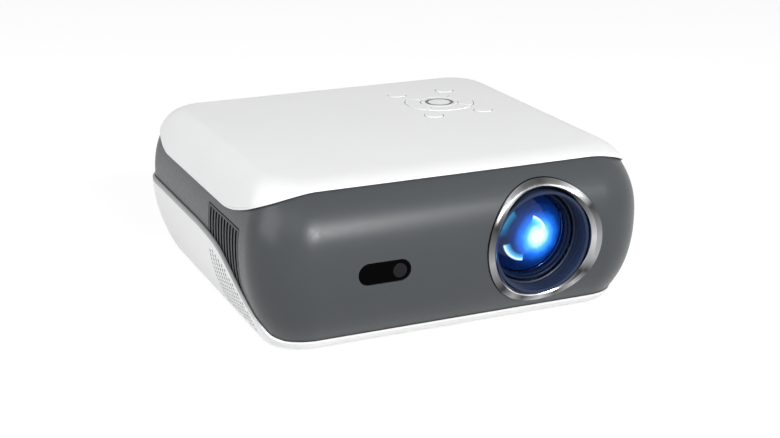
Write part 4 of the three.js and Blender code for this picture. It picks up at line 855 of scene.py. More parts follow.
# The lit lens's painted glow, from the lamp outwards, and the painted reflections in its coating, as arcs and
# a wedge:
# how bright they are from their middle outwards, and round a turn from the right
PAINTED_GLOW_STOPS = (
    (0.0, (1.0, 1.0, 1.0)),
    (0.15, (1.0, 1.0, 1.0)),
    (0.23, (0.6, 0.92, 1.0)),
    (0.34, (0.1, 0.48, 1.0)),
    (0.48, (0.016, 0.16, 0.66)),
    (0.66, (0.003, 0.028, 0.15)),
    (0.84, (0.001, 0.008, 0.045)),
    (1.0, (0.001, 0.005, 0.026)),
)
CLEAR, FULL = (0.0, 0.0, 0.0), (1.0, 1.0, 1.0)
PAINTED_ARC_BAND = ((0.0, CLEAR), (0.4, CLEAR), (0.5, (0.1, 0.45, 0.6)), (0.57, FULL), (0.6, CLEAR))
PAINTED_ARC_TURNS = (
    (0.0, CLEAR), (0.03, CLEAR), (0.07, FULL), (0.185, FULL), (0.195, CLEAR), (0.53, CLEAR), (0.545, FULL),
    (0.735, FULL), (0.745, CLEAR),
)
PAINTED_WEDGE_BAND = ((0.0, CLEAR), (0.5, CLEAR), (0.7, (0.02, 0.26, 0.36)), (0.85, (0.04, 0.42, 0.52)))
PAINTED_WEDGE_TURNS = ((0.0, CLEAR), (0.33, CLEAR), (0.345, FULL), (0.43, FULL), (0.51, CLEAR))

# Where the lamp, the painted arcs and the painted wedge have their middle, to the right and up, in shares of
# the radius
LAMP_PLACE = (0.3, -0.12)
PAINTED_ARCS_PLACE = (-0.05, -0.12)
PAINTED_WEDGE_PLACE = (0, 0)


def lit_glass(name, centre, radius):
    """The lit inner lens, a painted glow that the lens gives off itself: white at the lamp, then blue, then
    almost black, with painted reflections as arcs in its coating.
    """
    finish = Finish(name)
    haze = finish.noise(230, detail=3)
    ripple = finish.math("MULTIPLY", finish.math("SUBTRACT", haze, 0.5), 0.12)
    lamp = finish.moved(centre, LAMP_PLACE, radius)
    tone = finish.ramp(finish.math("ADD", finish.reach(lamp, radius), ripple), PAINTED_GLOW_STOPS)
    for place, band, turns in ((PAINTED_ARCS_PLACE, PAINTED_ARC_BAND, PAINTED_ARC_TURNS), (PAINTED_WEDGE_PLACE, PAINTED_WEDGE_BAND, PAINTED_WEDGE_TURNS)):
        # Painted reflections in the coating, added onto the painted glow
        coating = finish.moved(centre, place, radius)
        outwards = finish.ramp(finish.reach(coating, radius), band)
        around = finish.ramp(finish.turn_share(coating), turns)
        tone = finish.mixed("ADD", tone, finish.mixed("MULTIPLY", outwards, around))
    # Painted glow: the lens gives off this light itself, though it is no lamp
    finish.surface("Emission Color", tone)
    finish.surface("Emission Strength", 1.6)
    finish.surface("Base Color", finish.blended(haze, (0.002, 0.005, 0.015), (0.004, 0.012, 0.04)))
    finish.surface("Roughness", 0.1)
    finish.surface("Specular IOR Level", 0.1)
    return finish.material


def build_finishes(scene):
    """Every finish of the projector, named after its slot in the record or after what it is seen on."""
    tint = scene.projector_colours
    # Name, colour, roughness, strength of the grain and gloss
    for moulding in (
        ("lid_white", tint.white, 0.4, 0.16, 0.3),
        ("shell_white", tint.lower_white, 0.42, 0.22, 0.5),
        ("band_grey", tint.dark, 0.32, 0.02, 0.3),
        ("vent_grey", tint.vent, 0.44, 0.25, 0.2),
        ("recess_navy", tint.navy, 0.4, 0.1, 0.2),
        # Painted shade inside the vents' slots
        ("slot_painted_shade", tint.slot_painted_shade, 0.6, 0.2, 0.1),
        # Painted shade inside the side fields' holes
        ("hole_painted_shade", tint.hole_painted_shade, 0.55, 0.2, 0.3),
        # Painted shade in the centre key's groove
        ("groove_painted_shade", tint.groove_painted_shade, 0.4, 0.1, 0.5),
        ("black_plastic", tint.black, 0.45, 0.35, 0.5),
        ("barrel_black", tint.barrel, 0.24, 0.04, 0.12),
        ("receiver_grey", tint.receiver, 0.22, 0.05, 0.1),
        ("gear_nylon", tint.nylon, 0.5, 0.2, 0.5),
    ):
        moulded(*moulding)
    # Painted shade along the rim: white low at the front, greyer where the rim climbs
    fading_up("rim_painted_shade", tint.lower_white, tint.rim_painted_shade, scene.projector_shell.rim_front_height, 0.3)
    polished("gloss_black", tint.gloss_black, 0.05, 0.012)
    lens = middle_of("lens_funnel")
    ring = {"direction": "Y", "centre": (lens.x, 0, lens.z)}
    # The ring's face and bevel carry painted reflections in their base colour
    metal("bezel_chrome", tint.chrome, 0.2, painted_reflection=FACE_PAINTED_REFLECTION, **ring)
    metal("bevel_chrome", tint.chrome, 0.18, painted_reflection=BEVEL_PAINTED_REFLECTION, **ring)
    metal("raw_alloy", tint.alloy, 0.34, lines=0.5 * MM, direction="X")
    metal("thread_brass", tint.brass, 0.28, lines=0.3 * MM)
    metal("plated_steel", tint.steel, 0.26, lines=0.2 * MM)
    metal("front_mirror", tint.mirror, 0.05, lines=2 * MM, strength=0.01)
    clear_glass("coated_glass", tint.glass, bend=1.25)
    clear_glass("clear_glass", tint.clear_glass, bend=1.5)
    circuit("circuit_board", tint.board)
    rubbery("foot_rubber", tint.rubber)


def finish_for(slot):
    return bpy.data.materials[slot + FINISH_ENDING]


def slot_of(node):
    return next(s["material_slot"] for s in frame["record"]["subparts"] if s["node"] == node)


class PROJECTOR_OT_finishes(bpy.types.Operator):
    """Make the procedural finishes"""

    bl_idname = "projector.finishes"
    bl_label = "Finishes"

    def execute(self, context):
        build_finishes(context.scene)
        return {"FINISHED"}


# Pieces

# How far out the rings lie that close a flat top or floor towards its middle
CENTRE_SHARES = (0.04, 0.3, 0.6, 0.85)
FEET = ("foot_1", "foot_2", "foot_3", "foot_4")
SCREWS = ("case_screw_1", "case_screw_2", "case_screw_3", "case_screw_4")
VENTS = ("left_vent", "right_vent")
ROUND_KEYS = ("round_key_1", "round_key_2", "round_key_3", "round_key_4")
QUARTER_KEYS = ("nav_key_right", "nav_key_rear", "nav_key_left", "nav_key_front")


def middle_of(node):
    low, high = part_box(node)
    return (low + high) / 2


def radius_of(node):
    low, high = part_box(node)
    return (high.x - low.x) / 2


def lid_ring(case, lid, part, overhang, inset, top, rise=0.0):
    """A ring of the lid between its flat top, at part 0, and its edge, at part 1."""
    radius = lid.flat_radius - inset
    x, y = case.outline.points(
        lid.flat_half_width - inset, lid.flat_front - inset, lid.flat_rear - inset, radius, radius
    )
    edge = case.ring(case.seam + rise, overhang)
    sizes = case.sizes
    # The seam lies low along the sides, where the fold is rounder than along the front and rear
    beside = (sizes.seam_front_height - case.seam) / (sizes.seam_front_height - sizes.seam_side_height)
    leave = 3 * (1 - part) ** 2 * part * lid.leave
    arrive = 3 * (1 - part) * part**2
    out = leave + arrive * (lid.front_arrive + (lid.arrive - lid.front_arrive) * beside) + part**3
    down = arrive * (lid.front_drop + (lid.drop - lid.front_drop) * beside) + part**3
    return np.stack(
        [x + (edge[:, 0] - x) * out, y + (edge[:, 1] - y) * out, top + (edge[:, 2] - top) * down], axis=1
    )


def lid_shape(case, lid):
    """The lid's shell, from the middle of its underside round the edge to the middle of its top."""
    underside = case.top - lid.top_wall
    inner_edge = lid.overhang - lid.wall
    inner = [lid_ring(case, lid, part, inner_edge, lid.wall, underside) for part in np.linspace(0, 1, 13)]
    edge = [
        case.ring(case.seam + up, lid.overhang - inset) for up, inset in rounding(lid.edge_round, ROUND_STEPS)
    ]
    edge.append(case.ring(case.seam + lid.lip, lid.overhang))
    edge.append(case.ring(case.seam + lid.lip + lid.groove, lid.overhang - lid.groove))
    rise = lid.lip + 2 * lid.groove
    outer = [lid_ring(case, lid, part, lid.overhang, 0, case.top, rise) for part in np.linspace(1, 0, 37)]
    middle_y = (lid.flat_rear - lid.flat_front) / 2
    low_centre = np.array([0, middle_y, underside])
    high_centre = np.array([0, middle_y, case.top])
    return skinned(
        filled(inner[0], low_centre, CENTRE_SHARES)
        + inner
        + edge
        + outer
        + filled(outer[-1], high_centre, CENTRE_SHARES[::-1])
    )


def soft_hole(centre, radius, top, soft, depth, steps):
    """A cutter for a round hole whose top edge is rounded."""
    profile = [(0, top - depth), (radius, top - depth), (radius, top - soft)]
    profile += [(radius + out, top - down) for out, down in rounding(soft, 4, first=0.3)]
    profile += [(radius + soft, top + depth), (0, top + depth)]
    return turned(profile, "z", centre, steps)


class PROJECTOR_OT_lid(bpy.types.Operator):
    """Make the white lid with its soft fold and the holes for its keys"""

    bl_idname = "projector.lid"
    bl_label = "Lid"

    def execute(self, context):
        scene = context.scene
        case, lid, keys = Case(scene), scene.projector_lid, scene.projector_keys
        shape = lid_shape(case, lid)
        piece = new_object("lid", shape)
        keyholes = [("ok_key", keys.ring_radius, 128)]
        keyholes += [(name, keys.round_radius, 56) for name in ROUND_KEYS]
        holes = [
            soft_hole(middle_of(name), radius + keys.gap, case.top, keys.edge_round, 3 * lid.top_wall, steps)
            for name, radius, steps in keyholes
        ]
        combined(piece, holes, "DIFFERENCE")
        shaded_like(piece, shape)
        placed(piece, "case", "lid_white", "top_cover")
        return {"FINISHED"}


def band_shape(case):
    """The dark band between the lower shell's rim and the seam."""
    sizes = case.sizes
    wall = sizes.band_wall

    def rows(grow, below_steps, above_steps):
        low = case.rim_heights(grow, sizes.band_lip)
        waist = np.maximum(sizes.waist_height, low + GAP)
        high = case.seam - GAP
        below = [low + (waist - low) * part for part in np.linspace(0, 1, below_steps)]
        above = [waist + (high - waist) * part for part in np.linspace(0, 1, above_steps)[1:]]
        return [case.ring(height, grow) for height in below + above]

    return skinned(rows(0, 40, 30) + rows(-wall, 12, 8)[::-1], closed=True)


def vent_opening(case, node):
    """The rectangle that a vent fills in the band, seen from the side, and the side that it is on."""
    low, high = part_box(node)
    return low.y, high.y, case.floor, high.z, (-1 if low.x < 0 else 1)


def side_span(case, side):
    """From well inside the case to well outside it, on one side."""
    return sorted((side * case.half_width / 2, side * (case.half_width + 10 * MM)))


class PROJECTOR_OT_band(bpy.types.Operator):
    """Make the dark band with its openings"""

    bl_idname = "projector.band"
    bl_label = "Band"

    def execute(self, context):
        case = Case(context.scene)
        shape = band_shape(case)
        piece = new_object("band", shape)
        lens = middle_of("lens_funnel")
        window_low, window_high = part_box("ir_window")
        pill = rounded_box(
            (window_low.x - GAP, window_low.z - GAP),
            (window_high.x + GAP, window_high.z + GAP),
            (window_high.z - window_low.z) / 2 + GAP,
            16,
        )
        openings = [
            prism(circle((lens.x, lens.z), radius_of("lens_bezel") + GAP, 160), "y", -FAR, 0),
            prism(pill, "y", -FAR, 0),
        ]
        for node in VENTS:
            front, rear, low, high, side = vent_opening(case, node)
            corners = rounded_box((front - GAP, low), (rear + GAP, high + GAP), 2 * GAP, 4)
            openings.append(prism(corners, "x", *side_span(case, side)))
        margin, slot_half = 0.5 * MM, 7.5 * MM
        wheel_low, wheel_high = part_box("focus_wheel")
        wheel_z = (wheel_low.z + wheel_high.z) / 2
        slot = rounded_box(
            (wheel_low.y - margin, wheel_z - slot_half),
            (wheel_high.y + margin, wheel_z + slot_half),
            margin,
            4,
        )
        openings.append(prism(slot, "x", *side_span(case, 1)))
        combined(piece, openings, "DIFFERENCE")
        shaded_like(piece, shape)
        placed(piece, "case", "band_grey", "mid_shell")
        return {"FINISHED"}


def vent_pitch(vents, node):
    """The way from one of a vent's slots to the next."""
    low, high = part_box(node)
    return (high.y - low.y - 2 * vents.frame_width) / vents.slots


class PROJECTOR_OT_vents(bpy.types.Operator):
    """Make the slotted inserts in the band"""

    bl_idname = "projector.vents"
    bl_label = "Vents"

    def execute(self, context):
        scene = context.scene
        case, vents = Case(scene), scene.projector_vents
        shape = band_shape(case)
        for node in VENTS:
            front, rear, low, high, side = vent_opening(case, node)
            span = side_span(case, side)
            piece = new_object(f"{node}_grille", shape)
            outline = rounded_box((front + GAP, low - FAR), (rear - GAP, high - GAP), GAP, 3)
            combined(piece, [prism(outline, "x", *span)], "INTERSECT")
            pitch = vent_pitch(vents, node)
            half = pitch * vents.slot_share / 2
            top = high - vents.frame_width
            slots = []
            for k in range(vents.slots):
                middle = front + vents.frame_width + (k + 1 / 2) * pitch
                rim = max(case.rim_height(middle - half), case.rim_height(middle + half))
                bottom = rim - case.sizes.band_lip / 2
                slot = rounded_box((middle - half, bottom), (middle + half, top), vents.rib_round, 3)
                slots.append(prism(slot, "x", *span))
            combined(piece, slots, "DIFFERENCE")
            shaded_like(piece, shape)
            placed(piece, "case", "vent_grey", node)
            # Painted shade: the slots' walls are made near black
            further_finish(piece, finish_for("slot_painted_shade"), lambda place, facing: abs(facing.x) < 0.5)
        return {"FINISHED"}


def window_shape(case, low, high, soft):
    """The window's pill, following the band's curve, with a rounded edge and a flat back."""
    radius = (high.z - low.z) / 2

    def ring(inset, deep, flat=None):
        outline = np.array(
            rounded_box((low.x + inset, low.z + inset), (high.x - inset, high.z - inset), radius - inset, 14)
        )
        y = case.face(outline[:, 1], 0) + deep if flat is None else np.full(len(outline), flat)
        return np.stack([outline[:, 0], y, outline[:, 1]], axis=1)

    rings = [ring(radius * 0.9, 0, flat=high.y), ring(0, 0, flat=high.y)]
    rings += [ring(inset, deep) for inset, deep in rounding(soft, ROUND_STEPS)]
    rings += [ring(soft + (radius - soft) * part, 0) for part in (0.2, 0.4, 0.6, 0.8, 0.95)]
    return facing_out(*skinned(rings))


class PROJECTOR_OT_window(bpy.types.Operator):
    """Make the black window and the receiver that shows in it"""

    bl_idname = "projector.window"
    bl_label = "Remote-control window"

    def execute(self, context):
        case = Case(context.scene)
        low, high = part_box("ir_window")
        shape = window_shape(case, low, high, soft=0.5 * MM)
        piece = smoothed(new_object("remote_window", shape), 50)
        placed(piece, "case", "gloss_black", "ir_window")
        radius, crown, from_end = 3.7 * MM, 0.35 * MM, 5.9 * MM
        z = (low.z + high.z) / 2
        face = case.face(z, 0)
        foot = face - 0.1 * MM
        profile = [(0, face + crown), (radius, face + crown), (radius, foot)]
        profile += [(radius * part, foot - crown * (1 - part**4)) for part in (0.96, 0.85, 0.65, 0.4, 0.2)]
        profile.append((0, foot - crown))
        dome = new_object("receiver_dome", turned(profile, "y", (high.x - from_end, z), 48))
        placed(smoothed(dome, 40), "case", "gloss_black", finish=finish_for("receiver_grey"))
        return {"FINISHED"}


def shell_shape(case):
    """The lower shell, from the middle of its floor up the outside, over the rim and down inside."""
    shell = case.shell
    proud, inner = shell.proud, shell.proud - shell.wall
    floor, chamfer = case.floor, shell.rim_chamfer
    rings = [case.ring(floor + up, proud - inset) for up, inset in rounding(shell.floor_round, 6)]
    low = floor + shell.floor_round
    high = case.rim_heights(proud, chamfer + shell.rim_land)
    rings += [case.ring(low + (high - low) * part, proud) for part in np.linspace(0, 1, 30)[1:]]
    rings.append(case.ring(case.rim_heights(proud, chamfer), proud))
    for inset, below in rounding(chamfer, ROUND_STEPS)[1:]:
        rings.append(case.ring(case.rim_heights(proud - inset, below), proud - inset))
    inner_high = case.rim_heights(inner, 0)
    inner_low = floor + shell.floor_thickness
    rings += [
        case.ring(inner_low + (inner_high - inner_low) * part, inner) for part in np.linspace(1, 0, 12)
    ]
    low_centre = np.array([0, 0, floor])
    high_centre = np.array([0, 0, inner_low])
    return skinned(
        filled(rings[0], low_centre, CENTRE_SHARES)
        + rings
        + filled(rings[-1], high_centre, CENTRE_SHARES[::-1])
    )


def field_holes(case, shell, vents):
    """Staggered upright holes in both sides, in line with the vent's slots, below the rim."""
    pitch = vent_pitch(vents, "left_vent")
    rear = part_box("left_vent")[1].y
    half = shell.hole_width / 2
    holes = []
    for column in range(vents.slots + 1):
        y = rear - vents.frame_width - (column + 1 / 2) * pitch
        ceiling = case.rim_height(y) - shell.field_margin
        row = column % 2
        z = shell.field_bottom + row * shell.hole_pitch / 2
        while z + shell.hole_height < ceiling:
            outline = rounded_box((y - half, z), (y + half, z + shell.hole_height), 0.6 * half, 2)
            holes += [prism(outline, "x", *side_span(case, side)) for side in (-1, 1)]
            row += 2
            z = shell.field_bottom + row * shell.hole_pitch / 2
    return holes


def speaker_slots(case):
    """Upright slots in the rear, in front of each speaker."""
    count, pitch, half, half_height = 5, 4 * MM, 0.9 * MM, 9 * MM
    slots = []
    for name in ("speaker_left", "speaker_right"):
        place = middle_of(name)
        for k in range(count):
            x = place.x + (k - (count - 1) / 2) * pitch
            outline = rounded_box(
                (x - half, place.z - half_height), (x + half, place.z + half_height), 0.9 * half, 4
            )
            slots.append(prism(outline, "y", case.half_depth - 20 * MM, case.half_depth + 10 * MM))
    return slots


def shell_fittings(floor, inside):
    """The lower shell's bosses, and the cuts for its feet, screws, dial and tripod insert."""
    well_radius, well_top = radius_of("case_screw_1") + 2 * GAP, 8 * MM
    boss_wall, boss_top, shank = 2 * MM, 12 * MM, 1.8 * MM
    dial, pocket_radius = middle_of("tilt_dial"), radius_of("tilt_dial") + 2 * GAP
    pocket_top, pocket_wall, neck_radius = floor + 4.6 * MM, 1.6 * MM, 6.7 * MM
    insert, insert_radius, insert_wall = middle_of("tripod_insert"), radius_of("tripod_insert"), 2.5 * MM
    insert_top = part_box("tripod_insert")[1].z
    foot_radius, foot_top = radius_of("foot_1"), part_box("foot_1")[1].z
    screws = [middle_of(name) for name in SCREWS]

    bosses = [prism(circle(place, well_radius + boss_wall, 40), "z", inside, boss_top) for place in screws]
    rim = circle(dial, pocket_radius + pocket_wall, 72)
    bosses.append(prism(rim, "z", inside, pocket_top + pocket_wall))
    bosses.append(prism(circle(insert, insert_radius + insert_wall, 48), "z", inside, insert_top))

    foot_places = [middle_of(name) for name in FEET]
    cuts = [prism(circle(place, foot_radius + GAP, 48), "z", 0, foot_top + GAP) for place in foot_places]
    for places, wide, step, narrow, top, steps in (
        (screws, well_radius, well_top, shank, FAR / 2, 40),
        ([dial], pocket_radius, pocket_top, neck_radius, 2 * pocket_top, 72),
    ):
        profile = [(0, 0), (wide, 0), (wide, step), (narrow, step), (narrow, top), (0, top)]
        cuts += [turned(profile, "z", place, steps) for place in places]
    cuts.append(prism(circle(insert, insert_radius + GAP, 48), "z", 0, 2 * insert_top))
    return bosses, cuts


class PROJECTOR_OT_shell(bpy.types.Operator):
    """Make the white lower shell with its swept rim, hole fields, wells and rear bay"""

    bl_idname = "projector.shell"
    bl_label = "Lower shell"

    def execute(self, context):
        scene = context.scene
        case, shell = Case(scene), scene.projector_shell
        shape = shell_shape(case)
        piece = new_object("lower_shell", shape)
        bosses, cuts = shell_fittings(case.floor, case.floor + shell.floor_thickness / 2)
        combined(piece, bosses, "UNION")
        bay_low, bay_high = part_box("rear_panel")
        bay = rounded_box(
            (bay_low.x - GAP, bay_low.z - GAP), (bay_high.x + GAP, bay_high.z + GAP), 2 * MM, 5
        )
        bay_front = bay_low.y - 4 * MM
        cuts.insert(0, prism(bay, "y", bay_front, FAR))
        cuts += speaker_slots(case) + field_holes(case, shell, scene.projector_vents)
        combined(piece, cuts, "DIFFERENCE")
        shaded_like(piece, shape)
        placed(piece, "case", "shell_white", "bottom_shell")
        self.paint_shade_on_edges(piece, case, shell)
        return {"FINISHED"}

    def paint_shade_on_edges(self, piece, case, shell):
        """Paints shade in grey on the soft edge along the rim and on the insides of the holes in the side
        fields.
        """
        rim_below = 0.95 * (shell.rim_chamfer + shell.rim_land)
        beside = 0.75 * case.half_width

        def on_rim(place, facing):
            return place.z > case.rim_height(place.y, rim_below)

        def in_hole(place, facing):
            if abs(facing.x) >= 0.1 or abs(place.x) <= beside or not -shell.rim_run < place.y < 0:
                return False
            top = case.rim_height(place.y) - shell.field_margin / 2
            return shell.field_bottom - GAP < place.z < top

        # Painted shade on the rim's soft edge and land
        further_finish(piece, finish_for("rim_painted_shade"), on_rim)
        # Painted shade inside the holes
        further_finish(piece, finish_for("hole_painted_shade"), in_hole)


def bezel_shape(case, lens, centre, outer_radius, rear):
    """The chrome ring, whose face follows the band's curve."""
    steps = 192
    turns = np.arange(steps) * FULL_TURN / steps
    soft, chamfer = lens.ring_round, lens.ring_chamfer
    crown = 0.25 * MM

    def ring(radius, deep, flat=None):
        x = centre[0] + radius * np.cos(turns)
        z = centre[1] + radius * np.sin(turns)
        y = case.face(z, lens.ring_proud - crown) + deep if flat is None else np.full(steps, flat)
        return np.stack([x, y, z], axis=1)

    inner = lens.ring_bore + chamfer
    outer = outer_radius - soft
    rings = [ring(outer_radius, 0, flat=rear)]
    rings += [ring(outer_radius - inset, deep) for inset, deep in rounding(soft, 6)]
    for part in np.linspace(0, 1, 7)[1:]:
        rings.append(ring(outer + (inner - outer) * part, -crown * math.sin(math.pi * part)))
    for part in np.linspace(0, 1, 5)[1:]:
        rings.append(ring(inner - chamfer * part, 1.2 * chamfer * part**1.2))
    rings.append(ring(lens.ring_bore, 2.4 * chamfer))
    rings.append(ring(lens.ring_bore, 0, flat=rear))
    return facing_out(*skinned(rings, closed=True))


class PROJECTOR_OT_lens(bpy.types.Operator):
    """Make the chrome ring, the dark recess, the barrel and its glass"""

    bl_idname = "projector.lens"
    bl_label = "Lens"

    def execute(self, context):
        scene = context.scene
        lens = scene.projector_lens
        middle = middle_of("lens_funnel")
        axis = (middle.x, middle.z)
        self.make_ring(Case(scene), lens, axis)
        self.make_recess(lens, axis)
        self.make_barrel(lens, axis)
        self.make_glass(lens, axis)
        return {"FINISHED"}

    def make_ring(self, case, lens, axis):
        """The chrome ring, whose bevel has a finish of its own; face and bevel both carry painted
        reflections.
        """
        shape = bezel_shape(case, lens, axis, radius_of("lens_bezel"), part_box("lens_bezel")[1].y)
        piece = placed(smoothed(new_object("chrome_ring", shape), 28), "case", "bezel_chrome", "lens_bezel")
        bevel = lens.ring_bore + lens.ring_chamfer
        further_finish(
            piece,
            finish_for("bevel_chrome"),
            lambda place, facing: math.hypot(place.x - axis[0], place.z - axis[1]) < bevel,
        )

    def make_recess(self, lens, axis):
        """The dark funnel, with ridges that step inwards from its mouth to the barrel."""
        low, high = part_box("lens_funnel")
        wide, wall = radius_of("lens_funnel"), lens.funnel_wall
        entry, neck, end = low.y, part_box("lens_bezel")[1].y, high.y
        tight = radius_of("lens_barrel") + 2 * GAP
        step, ridges = 0.35 * MM, 5
        profile = [
            (wide - wall, entry + step),
            (wide - wall + step, entry),
            (wide, entry),
            (wide, neck),
            (tight + wall, end),
            (tight, end),
            (tight, end - 2 * step),
            (tight + 2 * step, end - 3 * step),
        ]
        first_radius, first_y = tight + 3 * step, end - 4 * step
        for k in range(ridges):
            part = (k + 1) / (ridges + 1)
            y = first_y - (first_y - entry - 2 * step) * part
            radius = first_radius + (wide - wall - first_radius) * part
            profile += [(radius - step / 2, y + step / 2), (radius, y)]
        piece = smoothed(new_object("lens_recess", turned(profile, "y", axis, 128)), 30)
        placed(piece, "case", "recess_navy", "lens_funnel")

    def make_barrel(self, lens, axis):
        """The barrel with its beaded rim and the seats of its glass."""
        low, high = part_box("lens_barrel")
        radius, half, bead = radius_of("lens_barrel"), lens.barrel_wall / 2, lens.bead
        bore, rear_bore = radius - lens.barrel_wall, 18.6 * MM
        front, seat = low.y, low.y + 11 * MM
        profile = [(radius, high.y), (radius, front + bead / 2)]
        for turn in np.linspace(0, math.pi, 9):
            profile.append((bore + half + half * math.cos(turn), front + half - half * math.sin(turn)))
        inset = bore - bead / 2
        profile += [
            (bore, front + 1.5 * bead),
            (inset, front + 2 * bead),
            (inset, seat),
            (rear_bore + bead, seat),
            (rear_bore, seat + bead),
            (rear_bore, high.y),
        ]
        piece = smoothed(new_object("barrel", turned(profile, "y", axis, 128)), 30)
        placed(piece, "barrel", "black_plastic", "lens_barrel", finish=finish_for("barrel_black"))

    def make_glass(self, lens, axis):
        """The domed front glass, and close behind it the inner lens, which gives off a painted glow of the
        lamp's light.
        """
        radius, crown, hollow, thickness = radius_of("front_lens"), lens.crown, 0.9 * lens.crown, 2.2 * MM
        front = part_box("front_lens")[0].y
        edge = front + crown
        back = edge + thickness
        outwards = np.linspace(0, 1, 17)[1:]
        profile = [(0, front)]
        profile += [(radius * part, edge - crown * (1 - part**2)) for part in outwards]
        profile.append((radius, back))
        profile += [(radius * part, back - hollow * (1 - part**2)) for part in np.linspace(0.97, 0, 15)[:-1]]
        profile.append((0, back - hollow))
        glass = smoothed(new_object("front_glass", turned(profile, "y", axis, 96)), 40)
        placed(glass, "barrel", "coated_glass", "front_lens")

        inner, depth = radius - lens.glow_depth, back - hollow + lens.glow_depth
        rear = depth + hollow + lens.bead
        profile = [(0, depth)]
        profile += [(inner * part, depth + hollow * part**2) for part in outwards]
        profile += [(inner, rear), (0, rear)]
        lit = smoothed(new_object("lit_lens", turned(profile, "y", axis, 96)), 40)
        placed(lit, "barrel", "coated_glass", finish=lit_glass("lamp_light", axis, inner))


def key_profile(radius, top, bottom, keys):
    """A round key's profile: flange, wall, rounded edge and a slightly dished top."""
    soft, dish = keys.edge_round, keys.dish
    flange_top = top - keys.cap
    profile = [(0, bottom), (radius + keys.flange, bottom), (radius + keys.flange, flange_top)]
    profile += [(radius, flange_top), (radius, top - soft)]
    profile += [(radius - inset, top - down) for inset, down in rounding(soft, ROUND_STEPS)[1:]]
    profile += [((radius - soft) * part, top - dish * (1 - part**2)) for part in (0.8, 0.6, 0.4, 0.2)]
    profile.append((0, top - dish))
    return profile


def quarter_shape(centre, inner, outer, middle, top, bottom, keys):
    """A quarter of the key ring with rounded top edges and a flange below."""
    steps = 24
    soft = keys.edge_round

    def ring(inset, z, grow=0.0):
        points = []
        for radius, backwards in ((outer - inset + grow, False), (inner + inset, True)):
            spread = QUARTER / 2 - (keys.gap / 2 + inset) / radius
            turns = np.linspace(middle - spread, middle + spread, steps)
            for turn in turns[::-1] if backwards else turns:
                points.append((centre.x + radius * math.cos(turn), centre.y + radius * math.sin(turn), z))
        return np.array(points)

    flange_top = top - keys.cap
    rings = [ring(0, bottom, keys.flange), ring(0, flange_top, keys.flange), ring(0, flange_top + GAP / 4)]
    rings += [ring(inset, top - down) for inset, down in rounding(soft, ROUND_STEPS)]
    rings.append(ring(1.6 * soft, top))
    return facing_out(*skinned(rings))


class PROJECTOR_OT_keys(bpy.types.Operator):
    """Make the centre key, the four quarter keys and the four round keys"""

    bl_idname = "projector.keys"
    bl_label = "Keys"

    def execute(self, context):
        keys = context.scene.projector_keys
        low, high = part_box("ok_key")
        centre = middle_of("ok_key")
        top, bottom = high.z, low.z
        self.make_centre_key(keys, centre, top, bottom)
        flange_bottom = bottom + keys.stem
        inner, outer = keys.ok_radius + keys.gap, keys.ring_radius
        for k, name in enumerate(QUARTER_KEYS):
            shape = quarter_shape(centre, inner, outer, k * QUARTER, top, flange_bottom, keys)
            piece = smoothed(new_object(f"{name}_cap", shape), 30)
            placed(piece, name.replace("_key", ""), "lid_white", name)
        profile = key_profile(keys.round_radius, top, flange_bottom, keys)
        for name in ROUND_KEYS:
            piece = new_object(f"{name}_cap", turned(profile, "z", middle_of(name), 48))
            placed(smoothed(piece, 30), name.replace("_key", ""), "lid_white", name)
        return {"FINISHED"}

    def make_centre_key(self, keys, centre, top, bottom):
        """The round key with painted shade in its groove."""
        profile = key_profile(keys.ok_radius, top, bottom, keys)
        piece = new_object("centre_key", turned(profile, "z", centre, 96))
        flare, floor, above = keys.edge_round / 2, top - keys.groove_depth, top + 2 * keys.edge_round
        groove = [
            (keys.groove_inner, floor),
            (keys.groove_outer, floor),
            (keys.groove_outer + flare, above),
            (keys.groove_inner - flare, above),
        ]
        combined(piece, [turned(groove, "z", centre, 96)], "DIFFERENCE")
        placed(smoothed(piece, 30), "ok", "lid_white", "ok_key")
        inner, outer = keys.groove_inner - GAP, keys.groove_outer + GAP
        ledge = top - keys.edge_round / 4
        # Painted shade: the groove's faces are made grey
        further_finish(
            piece,
            finish_for("groove_painted_shade"),
            lambda place, facing: inner < (place - centre).xy.length < outer and place.z < ledge,
        )


def toothed(centre, axis, tip, depth, teeth, bore, low, high, soft):
    """A toothed disc with rounded teeth, softened ends and a bore."""
    per_tooth = 8
    steps = teeth * per_tooth
    turns = np.arange(steps) * FULL_TURN / steps
    wave = (1 + np.cos(turns * teeth)) / 2

    def ring(inset, along, flat=None):
        radius = tip - depth + depth * wave**0.6 - inset if flat is None else np.full(steps, flat)
        across = centre[0] + radius * np.cos(turns)
        up = centre[1] + radius * np.sin(turns)
        return np.array([on_axis(axis, u, v, along) for u, v in zip(across, up)])

    rings = [
        ring(0, low, flat=bore),
        ring(soft, low),
        ring(0, low + soft),
        ring(0, high - soft),
        ring(soft, high),
        ring(0, high, flat=bore),
    ]
    return facing_out(*skinned(rings, closed=True))


class PROJECTOR_OT_focus_wheel(bpy.types.Operator):
    """Make the ribbed thumb wheel that focuses the lens"""

    bl_idname = "projector.focus_wheel"
    bl_label = "Focus wheel"

    def execute(self, context):
        low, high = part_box("focus_wheel")
        centre = middle_of("focus_wheel")
        bore, rib, ribs, soft = 2.3 * MM, 0.5 * MM, 32, 0.4 * MM
        shape = toothed(
            (centre.x, centre.z), "y", (high.z - low.z) / 2, rib, ribs, bore, low.y, high.y, soft
        )
        piece = smoothed(new_object("thumb_wheel", shape), 40)
        placed(piece, "wheel", "black_plastic", "focus_wheel")
        return {"FINISHED"}


